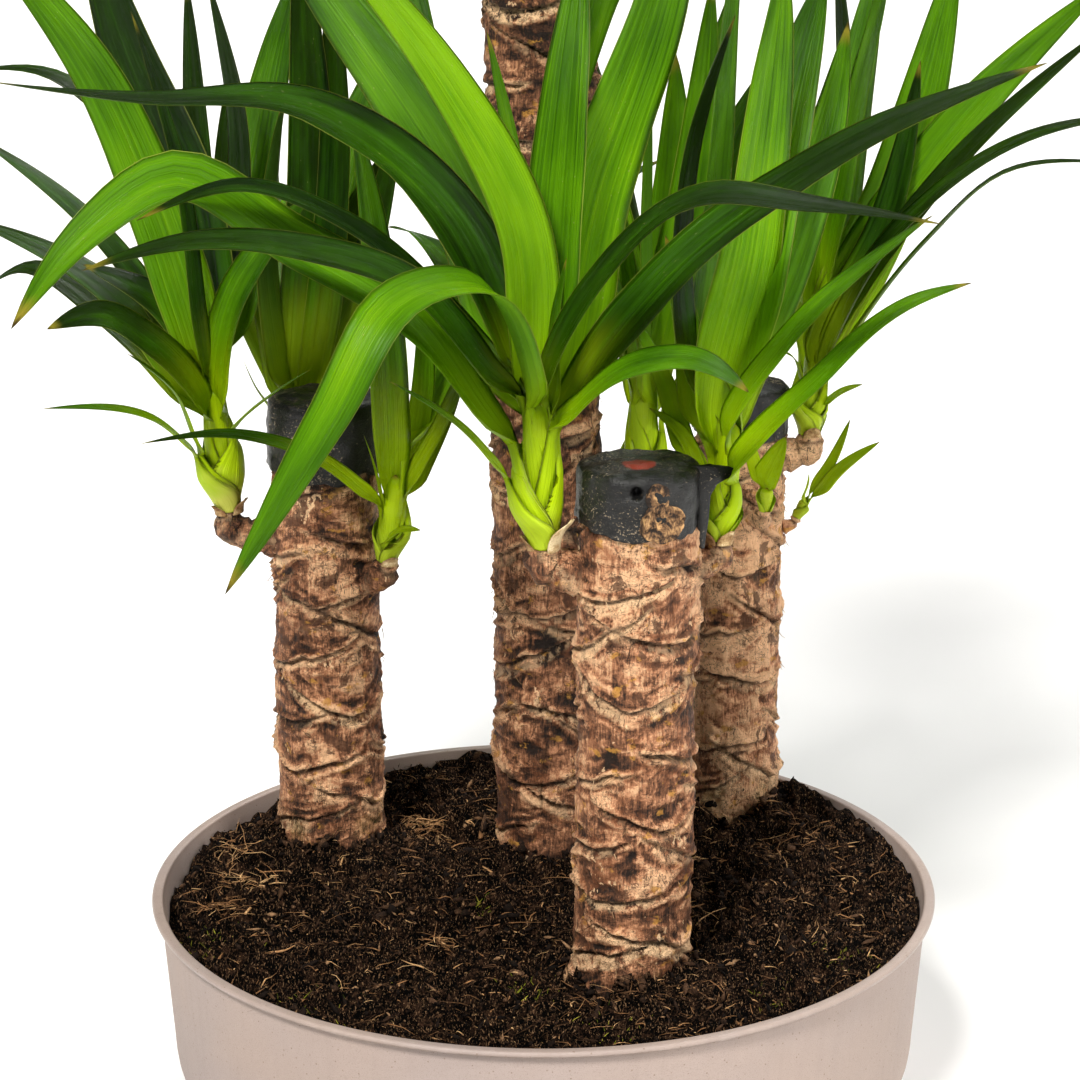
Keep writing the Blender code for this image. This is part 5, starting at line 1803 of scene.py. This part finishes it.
@dataclass
class Cap:
    """The wax cap of a cut cane end: a cup with a waved, ragged hem and a rough crown."""

    cane: Cane
    columns: int = 104
    skirt_rows: int = 27
    crown_rows: int = 19
    inside_rows: int = 2
    shoulder: float = 0.0042
    brim: float = 0.002
    hole_deep: float = 0.0060

    def outline(self) -> tuple[Array, Array, Array]:
        """Radius, height and how much of the hem's wave reaches each row.

        The rows go from the middle of the inside up under the crown, down the inside, round the hem, up the
        outside, over the shoulder's arc and in to the middle of the crown.

        Returns:
            Three values for each row.
        """
        arc = self.shoulder
        top = self.cane.height * CM
        hem = self.cane.hem()
        inner = max(float(self.cane.radius(top)), float(self.cane.radius(hem))) + GAP
        outer = inner + CAP_WALL
        drop = np.linspace(top + GAP, hem, self.inside_rows)
        lift = np.linspace(0, 1, self.skirt_rows)
        turn = np.linspace(0, math.pi / 2, 10)[1:]
        share = np.linspace(1, 0.02, self.crown_rows)[1:]
        crown_top = top + self.brim + (CAP_CROWN - self.brim) * (1 - share**2)
        rows = np.concatenate([
            [[0.02 * inner, top + GAP, 0.0]],
            stacked(inner - 0.0006, drop, 1.0 * (drop <= hem)),
            stacked(outer, hem + (top + self.brim - arc - hem) * lift, 1 - smooth(lift * 2)),
            stacked(outer - arc + arc * np.cos(turn), top + self.brim - arc + arc * np.sin(turn), 0.0),
            stacked((outer - arc) * share, crown_top, 0.0),
        ])
        return rows[:, :1], rows[:, 1:2], rows[:, 2:]

    def build(self, finish: Material) -> None:
        """Turn the outline round the cane's axis, then dent, pit and wrinkle its outer face.

        Args:
            finish: The wax.
        """
        cane = self.cane
        radius, height, wave_share = self.outline()
        turn = round_turns(self.columns)
        phase = 0.4 * cane.skirt
        wave = CAP_WAVE * (np.sin(2 * turn + phase) + 0.4 * np.sin(3 * turn - phase))
        ragged = 0.0022 * layered(around(1.0, turn, cane.height), 0.35, 3, 127)
        level = height + (wave + ragged) * wave_share
        place = around(radius, turn, level)
        dents = 0.0011 * layered(place, 0.016, 3, 131) + 0.00035 * layered(place, 0.0035, 2, 137)
        outer_rows = (np.arange(len(radius)) > self.inside_rows)[:, None]
        push = (dents + 0.0006 * noise(place, (0.007, 0.007, 0.05), 139)) * outer_rows
        blot = np.zeros(place.shape[:2])
        if cane.name == "front":
            self.front_marks(place, push, blot, outer_rows)
        on_crown = smooth((level - cane.height * CM + 0.001) / 0.003) * outer_rows
        rings = around(radius + push * (1 - on_crown), turn, level + push * on_crown)
        rings[..., :2] += cane.centre(level)
        dusty = np.clip(0.45 + on_crown * 0.5 + 0.5 * noise(place, 0.02, 149), 0, 1)
        loft(rings, blot=blot, dusty=dusty).piece("wax_" + cane.name, finish, "wax", "cap_" + cane.name)

    def front_marks(self, place: Array, push: Array, blot: Array, outer_rows: Array) -> None:
        """Mark the front cap: a small hole painted black as shade, a swelling round the knot, and an oval
        blot on its crown.

        Args:
            place: Points about the cane's axis.
            push: How far each is pushed out, changed here.
            blot: How much blot each has, below 0 where the hole is painted black as shade, changed here.
            outer_rows: Which rows are the outer face.
        """
        hole = cap_hole(place)
        push -= self.hole_deep * hole
        # Painted shade: the hole's wax is painted black
        blot -= hole
        swell = np.exp(-((place[..., 0] - 0.0085) / 0.010) ** 2 - ((place[..., 2] - 0.328) / 0.011) ** 2)
        push += 0.0022 * swell * ((place[..., 1] < 0) & outer_rows)
        oval = (place[..., 0] / 0.0072) ** 2 + ((place[..., 1] + 0.0085) / 0.0065) ** 2
        blot += smooth((1.15 - oval) / 0.25) * (place[..., 2] > 0.342) * outer_rows


class Knot(NamedTuple):
    """A cut knot: its bearing in degrees from +X, height, half width, half height, how proud, and a seed."""

    bearing: float
    level: float
    half_width: float
    half_height: float
    proud: float
    seed: int


@dataclass
class Knots:
    """What marks the front cap: cut knots of wood, each a rough disc, and a torn flap of wax."""

    columns: int = 48
    rows: int = 16
    flap_columns: int = 28
    flap_rows: int = 30
    # A round knot with a smaller one above it
    knots: tuple[Knot, ...] = (
        Knot(-69.0, 0.3238, 0.0112, 0.0085, 0.0034, 3),
        Knot(-74.0, 0.3355, 0.0050, 0.0066, 0.0026, 9),
    )

    def knot(self, knot: Knot) -> Surface:
        """A knot: rings of an oval that rise out of the wax, fold over a rim and sink to a hollow middle.

        Args:
            knot: Where it is and how large.

        Returns:
            The knot.
        """
        cane = CANES["front"]
        out = around(1.0, np.array(math.radians(knot.bearing)), 0.0)
        middle = np.array([*cane.centre(knot.level), knot.level]) + out * (cane.radius(0.33) + CAP_WALL)
        side = unit(np.cross([0.0, 0.0, 1.0], out))
        up = np.cross(out, side)
        turn = round_turns(self.columns)
        share = np.concatenate([np.full(4, 1.0), np.linspace(1.0, 0.04, self.rows)])[:, None]
        lift = np.concatenate([np.linspace(-0.004, knot.proud, 4), np.full(self.rows, knot.proud)])[:, None]
        hollow = 0.30 * knot.proud * smooth((0.55 - share) / 0.3)
        x = knot.half_width * share * np.cos(turn)
        z = knot.half_height * share * np.sin(turn)
        rough = layered(stacked(x, z, lift) + knot.seed, 0.007, 4, knot.seed)
        grow = 1 + 0.16 * noise(around(1.0, turn, knot.seed), 0.5, knot.seed)
        depth = lift - hollow + 0.0019 * rough * smooth(lift / knot.proud)
        x, z = (x * grow)[..., None], (z * grow)[..., None]
        return loft(middle + side * x + up * z + out * depth[..., None])

    def flap(self) -> Surface:
        """The torn flap at the front cap's right: a thin upright sheet that widens to a lip at its top.

        Returns:
            The flap.
        """
        height = np.linspace(0.306, 0.3440, self.flap_rows)
        outer = np.interp(height, (0.306, 0.320, 0.330, 0.335, 0.339, 0.342, 0.344),
                          (0.0716, 0.0733, 0.0740, 0.0768, 0.0852, 0.0846, 0.0770))
        inner = np.interp(height, (0.306, 0.344), (0.0690, 0.0640))
        turn = round_turns(self.flap_columns)
        half = 0.5 * (outer - inner)[:, None]
        x = (0.5 * (outer + inner))[:, None] + half * np.cos(turn)
        thick = 0.0011 * (1.0 - 0.5 * np.abs(np.cos(turn)))
        y = -0.0830 + 0.0035 * np.sin(40 * (x - 0.066)) + thick * np.sin(turn)
        place = stacked(x, y, height[:, None])
        place[..., 1] += 0.0007 * layered(place, 0.006, 3, 163)
        place[..., 2] += 0.0012 * noise(place, (0.004, 0.004, 0.02), 167) * smooth((x - 0.070) / 0.004)
        none = np.zeros(place.shape[:2])
        return loft(place, blot=none, dusty=none + 0.3)

    def build(self, wax: Material) -> None:
        """The knots as one piece of wood, and the flap as one of wax."""
        joined([self.knot(knot) for knot in self.knots]).piece("cap_knots", WoodFinish().material(), "bark")
        self.flap().piece("wax_flap", wax, "wax")


# Leaves


def leaf_frames(line: Array, leaf: Leaf) -> tuple[Array, Array]:
    """Sideways and upward directions along a leaf's line, its face turned to the front as the leaf says.

    Args:
        line: The leaf's middle line.
        leaf: The leaf.

    Returns:
        Both directions at each point.
    """
    heading = (line[-1] - line[0]) * (1.0, 1.0, 0.0)
    reach = np.linalg.norm(heading)
    heading = heading / reach if reach > 1e-6 else np.array([0.0, -1.0, 0.0])
    along = unit(np.gradient(line, axis=0))
    up = unit(np.cross(along, np.cross([0.0, 0.0, 1.0], heading)))
    side = np.cross(along, up)
    sign = 1.0 if np.sum(side @ np.array([0.0, -1.0, 0.0])) >= 0 else -1.0
    turn = np.radians(np.linspace(leaf.face_root, leaf.face_tip, len(line)))[:, None] * sign
    return swung(side, up, turn)


def skin_section(columns: int) -> tuple[Array, Array, Array]:
    """Round a thin skin: over its top from the right edge to the left, and back along its underside.

    Args:
        columns: Points on its top.

    Returns:
        The share across from 1 to -1, 1 on the top and -1 beneath, and the fullness, none at the edges.
    """
    top = np.linspace(1, -1, columns)
    share = np.concatenate([top, top[-2:0:-1]])
    face = np.concatenate([np.ones(columns), -np.ones(columns - 2)])
    return share, face, (1 - share**4) ** 0.5


def grown_leaf(shoot: Shoot, index: int, draw: random.Random) -> Leaf:
    """A leaf of the growth rule: bearings step by the golden angle, inner leaves rise, outer ones droop.

    Args:
        shoot: The shoot that it grows on.
        index: Which of the shoot's grown leaves it is.
        draw: The source of random numbers, read in the same order as in the part's source.

    Returns:
        The leaf.
    """
    share = (index + 0.5) / shoot.grown
    spread = ((index * GOLDEN_ANGLE / 360 + 0.17) % 1.0) * 2 - 1
    bearing = math.radians(shoot.bearing + spread * shoot.spread)
    length = draw.uniform(*(RULE_TOP_LENGTH if shoot.base[2] > RULE_TOP_HEIGHT else RULE_LENGTH))
    rise = RULE_RISE[0] + (RULE_RISE[1] - RULE_RISE[0]) * share
    rise += draw.uniform(-RULE_SCATTER, RULE_SCATTER)
    droop = RULE_DROOP[0] + (RULE_DROOP[1] - RULE_DROOP[0]) * share**1.5
    droop += draw.uniform(-RULE_SCATTER, RULE_SCATTER)
    place = np.array(shoot.base) + unit(np.array(shoot.axis, dtype=float)) * shoot.height * 0.5
    places = []
    for part in range(RULE_STEPS):
        slope = math.radians(rise - droop * ((part + 0.5) / RULE_STEPS) ** 1.4)
        step = length / CM / RULE_STEPS
        level = step * math.cos(slope)
        rest = (level * math.cos(bearing), level * math.sin(bearing), step * math.sin(slope))
        place = place + np.array(rest)
        places.append(tuple(place))
    twist_root = draw.uniform(-RULE_TWIST_ROOT, RULE_TWIST_ROOT)
    twist_tip = draw.uniform(-RULE_TWIST_TIP, RULE_TWIST_TIP)
    return Leaf(draw.uniform(*RULE_WIDTH), twist_root, twist_tip, Tone.MID.value, tuple(places))


def leaves_of(shoot: Shoot, draw: random.Random) -> list[Leaf]:
    """Every leaf of a shoot, the drawn ones first."""
    drawn = [Leaf(width, root, tip, tone.value, places) for width, root, tip, tone, *places in shoot.drawn]
    return drawn + [grown_leaf(shoot, index, draw) for index in range(shoot.grown)]


@dataclass
class Crown:
    """A leafy shoot: a stem wrapped in the sheaths of its leaves, whose blades leave it one by one."""

    name: str
    shoot: Shoot
    leaves: list[Leaf]
    pale: float = 0.20
    blade_rows: int = 36
    sheath_rows: int = 13
    top_columns: int = 9
    stem_columns: int = 30
    stem_rows: int = 20
    root_share: float = 0.60
    thick: float = 0.0015
    narrow: float = 0.66
    swell: float = 1.12
    core: float = 0.62
    last_row: float = 0.993
    full_run: float = 0.11
    settled_within: float = 0.0001

    def __post_init__(self) -> None:
        """Work out the stem's base, axis, height and radius in metres."""
        self.base = np.array(self.shoot.base) * CM
        self.axis = unit(np.array(self.shoot.axis, dtype=float))
        self.height = self.shoot.height * CM
        self.radius = self.shoot.radius * MM

    def stem_radius(self, rise: Array) -> Array:
        """Radius of the sheathed stem: wider up to the lowest leaves, then a little narrower."""
        wider = self.narrow + (self.swell - self.narrow) * smooth(rise / (2.4 * self.radius) + 0.12)
        return self.radius * (wider - 0.16 * smooth((rise - 0.5 * self.height) / (0.5 * self.height + 0.004)))

    def root_height(self, leaf: Leaf) -> float:
        """How far up the stem a leaf leaves it: a fixed run before its first place, held on the stem."""
        along = float((np.array(leaf.places[0]) * CM - self.base) @ self.axis) - ROOT_RUN
        return float(np.clip(along, ROOT_LOWEST * self.height, ROOT_HIGHEST * self.height))

    def settled(self, leaf: Leaf) -> Array | None:
        """The leaf's line where the CAD solid has it.

        The part's source tilts a leaf about its root until it clears the others. The same tilts are tried
        in turn here, and the one whose tip is a corner of the solid is the leaf's.

        Args:
            leaf: The leaf.

        Returns:
            The line, or nothing where the source left the leaf out.
        """
        root = self.base + self.axis * self.root_height(leaf)
        line = smooth_path([root] + [np.array(place) * CM for place in leaf.places], LINE_POINTS) - root
        out = line[-1]
        across = np.cross(FRONT_TO_BACK, [out[0], 0.0, out[2]])
        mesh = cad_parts[self.name].data
        corners = np.empty(len(mesh.vertices) * 3, dtype=np.float32)
        mesh.vertices.foreach_get("co", corners)
        corners = corners.reshape(-1, 3)
        for swing, nudge in itertools.product(SWINGS, NUDGES):
            tip = turn_about(turn_about(out, across, nudge), FRONT_TO_BACK, swing) + root
            if np.min(np.linalg.norm(corners - tip, axis=1)) < self.settled_within:
                return turn_about(turn_about(line, across, nudge), FRONT_TO_BACK, swing) + root
        return None

    def blade(self, leaf: Leaf, line: Array, rank: float, seed: int) -> Surface:
        """One leaf: a sheath wrapped round the stem that opens into a channelled blade with a pointed tip.

        The sheath is an arc about the stem's axis. The blade is an arc about the leaf's line, its half width
        growing over the first third and falling to a point. Over the first few centimetres each point moves
        from the sheath's place to the blade's by a smooth share. The skin's top goes from the right edge to
        the left, and its underside back, thinnest at the edges.

        Args:
            leaf: The leaf.
            line: Its settled line.
            rank: 0 for the innermost leaf of the shoot to 1 for the outermost.
            seed: Picks its waves and pattern.

        Returns:
            The leaf's skin.
        """
        share = np.linspace(0, self.last_row, self.blade_rows) ** 1.08
        length = float(np.sum(np.linalg.norm(np.diff(line, axis=0), axis=1)))
        root = self.root_height(leaf)
        # The blade's middle line and half width, then the sheath's rows set before them
        side_all, up_all = leaf_frames(line, leaf)
        middle, side, up = (
            read_at(part, np.arange(len(line)), share * (len(line) - 1)) for part in (line, side_all, up_all)
        )
        half = self.root_share + (1 - self.root_share) * smooth(share / OPENING_SHARE)
        half = 0.5 * leaf.width * MM * half * (1 - share**TIP_START) ** TIP_TAPER
        low = np.linspace(0.0, root, self.sheath_rows, endpoint=False)
        run = np.concatenate([low - root, share * length])
        rise = np.concatenate([low, root + share * length])
        half = np.concatenate([np.full(self.sheath_rows, half[0]), half])
        share = np.concatenate([np.zeros(self.sheath_rows), share])
        middle, side, up = (
            np.concatenate([np.repeat(part[:1], self.sheath_rows, axis=0), part])
            for part in (middle, unit(side), unit(up))
        )
        s, face, body = skin_section(self.top_columns)
        thick = self.thick * (1 - 0.68 * share) * np.minimum(1.0, half / 0.004)
        # The sheath: an arc about the stem, turned to the side that the blade leaves it on
        away = -up_all[min(12, self.blade_rows // 3)]
        away = unit(away - self.axis * (away @ self.axis))
        ring = self.stem_radius(np.minimum(rise, self.height * 1.1)) * (self.core + 0.40 * rank**3)
        ring = ring * (1 + 0.32 * rank**3 * smooth(rise / (root + 0.010)))
        quick = min(1.0, length / self.full_run)
        clasp = 2.75 - 1.35 * smooth((run + root) / (root + 0.012))
        clasp = clasp + (np.minimum(half / ring, 1.3) - clasp) * smooth(run / (0.032 * quick))
        shell = ring[:, None] - 0.5 * face * body * np.minimum(thick, 0.0005)[:, None]
        arc = spokes(away, np.cross(self.axis, away), clasp[:, None] * s)
        wrapped = (self.base + self.axis * rise[:, None])[:, None] + shell[..., None] * arc
        # The blade: an arc across the leaf's line, with pleats, waved edges and its skin's thickness
        wave = noise(stacked(run, float(seed), 0.0), 0.045, 151)
        bend = np.interp(share, (0.0, 0.08, OPENING_SHARE, 1.0), (1.5, 0.95, 0.34, 0.22)) + 0.10 * wave
        bend, half = bend[:, None], half[:, None]
        lift = half * (1 - np.cos(bend * s)) / bend + 0.020 * np.sin(3.2 * math.pi * s + seed) * half * body
        edges = noise(stacked(run[:, None], np.sign(s) + seed, 0.0), 0.028, 157)
        lift = lift + 0.05 * half * np.abs(s) ** 3 * edges + 0.5 * face * body * thick[:, None]
        flat = middle[:, None] + side[:, None] * (half * np.sin(bend * s) / bend)[..., None]
        flat = flat + up[:, None] * lift[..., None]
        foot_out = 0.75 * ring * (1 - smooth(run / (0.04 * quick)))
        flat = flat + (away * foot_out[:, None])[:, None]
        free = smooth((run - 0.002) / (0.040 * quick))[:, None, None]
        rings = wrapped * (1 - free) + flat * free
        full = np.ones(rings.shape[:2])
        return loft(
            rings, tip=line[-1], chart=stacked(0.5 * (s + 1), (rise / rise[-1])[:, None]),
            # Each leaf's painted shade or light from its table, spread wider, with a little change of its own
            tone=(0.46 + 1.22 * (leaf.tone - 0.46) + 0.06 * math.sin(7.3 * seed)) * full,
            pale=self.pale * full,
            seed=((seed * 0.6180339) % 1.0) * full,
            under=full * (face < 0),
            run=rise[:, None] * full,
        )

    def stem(self) -> Surface:
        """The stem inside the sheaths: a tube with a domed top.

        Returns:
            The tube, with the same values as the blades.
        """
        share = np.linspace(0, 1, self.stem_rows)
        rise = share * self.height
        dome = np.sqrt(np.clip(1 - ((share - 0.8) / 0.2).clip(0) ** 2, 0, 1))
        radius = self.stem_radius(rise) * self.core * dome + 0.0002
        across = unit(np.cross(self.axis, SLANT))
        out = spokes(across, np.cross(self.axis, across), round_turns(self.stem_columns))
        rings = (self.base + self.axis * rise[:, None])[:, None] + radius[:, None, None] * out
        full = np.ones(rings.shape[:2])
        return loft(rings, tone=0.5 * full, pale=self.pale * full, seed=0.3 * full, under=0 * full,
                    run=rise[:, None] * full)

    def build(self, finish: Material) -> None:
        """Settle every leaf on its CAD place and wrap them in order, the lowest roots outermost.

        Args:
            finish: The leaf material.
        """
        lines = [(leaf, self.settled(leaf)) for leaf in self.leaves]
        kept = [(leaf, line) for leaf, line in lines if line is not None]
        kept.sort(key=lambda pair: -self.root_height(pair[0]))
        logging.info("%s: %d of %d leaves settled", self.name, len(kept), len(lines))
        first = sum(map(ord, self.name))
        blades = [
            self.blade(leaf, line, index / max(1, len(kept) - 1), first + index)
            for index, (leaf, line) in enumerate(kept)
        ]
        joined([self.stem()] + blades).piece("leaves_" + self.name, finish, "leaf", self.name)


@dataclass
class Husks:
    """Dry papery scales at the feet of the shoots: each a short pointed sheath that has come away."""

    rows: int = 14
    columns: int = 10
    # Each scale's shoot, bearing in degrees, height in mm, half arc in radians, lean in mm and tone
    scales: tuple[tuple[str, float, float, float, float, float], ...] = (
        ("crown_front_left", -32, 17, 0.80, 5.0, 0.92), ("crown_front_left", -165, 8, 0.75, 1.5, 0.60),
        ("crown_front_right", -55, 8, 0.80, 1.2, 0.65), ("crown_front_right", -150, 6, 0.80, 1.0, 0.50),
        ("crown_left_outer", -20, 8, 0.85, 2.2, 0.55), ("crown_left_outer", -140, 6, 0.80, 1.2, 0.45),
        ("crown_left_inner", -60, 6, 0.90, 1.0, 0.70), ("crown_right", -80, 7, 0.85, 1.5, 0.62),
        ("crown_back_middle", -95, 9, 0.85, 1.5, 0.70), ("crown_left_back", -80, 8, 0.85, 1.2, 0.50),
        ("crown_top_right", -70, 8, 0.85, 1.4, 0.60), ("crown_top_left", -110, 8, 0.85, 1.4, 0.60),
        ("crown_top_back", 80, 8, 0.85, 1.4, 0.60), ("crown_right", 70, 7, 0.85, 1.5, 0.62),
        ("crown_front_left", 80, 8, 0.85, 1.5, 0.60), ("crown_left_outer", 100, 7, 0.85, 1.5, 0.50),
    )

    def scale(self, name: str, bearing: float, tall: float, spread: float, lean: float,
              tone: float) -> Surface:
        """One scale: an arc about its shoot's stem that narrows to a point and leans out as it rises.

        Args:
            name: The shoot's node.
            bearing: Where its middle is, in degrees from X towards Y.
            tall: Its height in mm.
            spread: Half its arc at the foot, in radians.
            lean: How far its point leans out, in mm.
            tone: Its tone.

        Returns:
            The scale.
        """
        crown = Crown(name, SHOOTS[name], [])
        way = around(1.0, np.array(math.radians(bearing)), 0.0)
        way = unit(way - crown.axis * (way @ crown.axis))
        share = np.linspace(0, 0.97, self.rows)[:, None]
        rise = (tall * share - 1.5) * MM
        s, face, body = skin_section(self.columns)
        ring = crown.stem_radius(np.maximum(rise, 0.0)) * 1.06 + (0.6 + lean * share**2) * MM
        ring = ring + 0.00018 * face * body + 0.0006 * share * np.sin(5 * s + 7 * share + bearing)
        out = spokes(way, np.cross(crown.axis, way), spread * (1 - share**2.2) ** 0.8 * s)
        rings = crown.base + crown.axis * rise[..., None] + ring[..., None] * out
        return loft(rings, tone=np.clip(tone + 0.25 * noise(rings, 0.003, 173), 0, 1))

    def build(self) -> None:
        """All the scales as one piece."""
        scales = joined([self.scale(*row) for row in self.scales])
        scales.piece("foot_husks", DRY_SCALES.material(), "bark")


# Room


class Sun(NamedTuple):
    """A wide soft light: strength, then bearing rightwards from the viewer, height and spread in degrees."""

    name: str
    strength: float
    bearing: float
    height: float
    spread: float
    colour: Colour


@dataclass
class Studio:
    """The plain pale floor, the soft lights and the camera at the photograph's angle."""

    picture: int = 1080
    focal_pixels: float = 3050.0
    centre_shift: float = 3.5
    camera_place: Place = (0.0, -1.3808, 0.6981)
    camera_drop: float = 16.656
    film_width: float = 36.0
    floor_half: float = 12.0
    sky: float = 0.15
    suns: tuple[Sun, ...] = (
        Sun("key_light", 3.9, -24.0, 48.0, 13.0, (1.0, 0.97, 0.93)),
        Sun("fill_light", 1.7, 60.0, 30.0, 30.0, (1.0, 0.98, 0.96)),
        Sun("back_light", 1.7, 158.0, 50.0, 24.0, (1.0, 1.0, 0.97)),
    )

    def floor(self) -> None:
        """A wide flat square under the pot."""
        reach = self.floor_half
        mesh = bpy.data.meshes.new("floor")
        edges = [(-reach, -reach, 0), (reach, -reach, 0), (reach, reach, 0), (-reach, reach, 0)]
        mesh.from_pydata(edges, [], [(0, 1, 2, 3)])
        mesh.materials.append(FloorFinish().material())
        linked("floor", mesh)

    def light(self, sun: Sun) -> None:
        """A wide soft light from its direction.

        Args:
            sun: The light.
        """
        light = bpy.data.lights.new(sun.name, "SUN")
        light.energy = sun.strength
        light.angle = math.radians(sun.spread)
        light.color = sun.colour
        facing = (math.radians(90 - sun.height), 0.0, math.radians(sun.bearing))
        linked(sun.name, light).rotation_euler = facing

    def camera(self) -> None:
        """The camera, its lens and shift from the photograph's framing."""
        lens = bpy.data.cameras.new("camera")
        lens.sensor_width = self.film_width
        lens.lens = self.focal_pixels / self.picture * lens.sensor_width
        lens.shift_x = -self.centre_shift / self.picture
        camera = linked("camera", lens)
        camera.location = self.camera_place
        camera.rotation_euler = (math.radians(90 - self.camera_drop), 0.0, 0.0)
        bpy.context.scene.camera = camera

    def build(self) -> None:
        """Set the sky, the floor, the lights, the camera and the plain colour view."""
        world = bpy.data.worlds.new("studio")
        world.use_nodes = True
        sky = world.node_tree.nodes["Background"]
        sky.inputs["Color"].default_value = (1.0, 1.0, 1.0, 1.0)
        sky.inputs["Strength"].default_value = self.sky
        bpy.context.scene.world = world
        bpy.context.scene.view_settings.view_transform = "Standard"
        self.floor()
        for sun in self.suns:
            self.light(sun)
        self.camera()


def corners(box: tuple) -> list[list[float]]:
    """A box's two corners as plain lists."""
    return [[float(number) for number in corner] for corner in box]


def main() -> None:
    """Build every piece of the plant in order, then the studio."""
    logging.basicConfig(level=logging.INFO, format="%(message)s")
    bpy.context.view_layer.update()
    Studio().build()
    Pot().build()
    soil = Soil()
    soil.build()
    Litter(soil).build()
    bark = BarkFinish().material()
    wax = WaxFinish().material()
    draw = np.random.default_rng(RANDOM_SEED)
    shreds = []
    for cane in CANES.values():
        made = Bark(cane)
        made.build(bark)
        shreds.append(made.shreds(draw, 1700 if cane.name == "tall" else 1000))
        cap = Cap(cane, 150, 40, 22, 20) if cane.name == "front" else Cap(cane)
        cap.build(wax)
    joined(shreds).piece("bark_shreds", BARK_BITS.material(), "bark")
    Knots().build(wax)
    leaf = LeafFinish().material()
    grow = random.Random(RANDOM_SEED)
    for name, shoot in SHOOTS.items():
        Crown(name, shoot, leaves_of(shoot, grow), PALE_FEET.get(name, Crown.pale)).build(leaf)
    Husks().build()


if __name__ == "__main__":
    main()
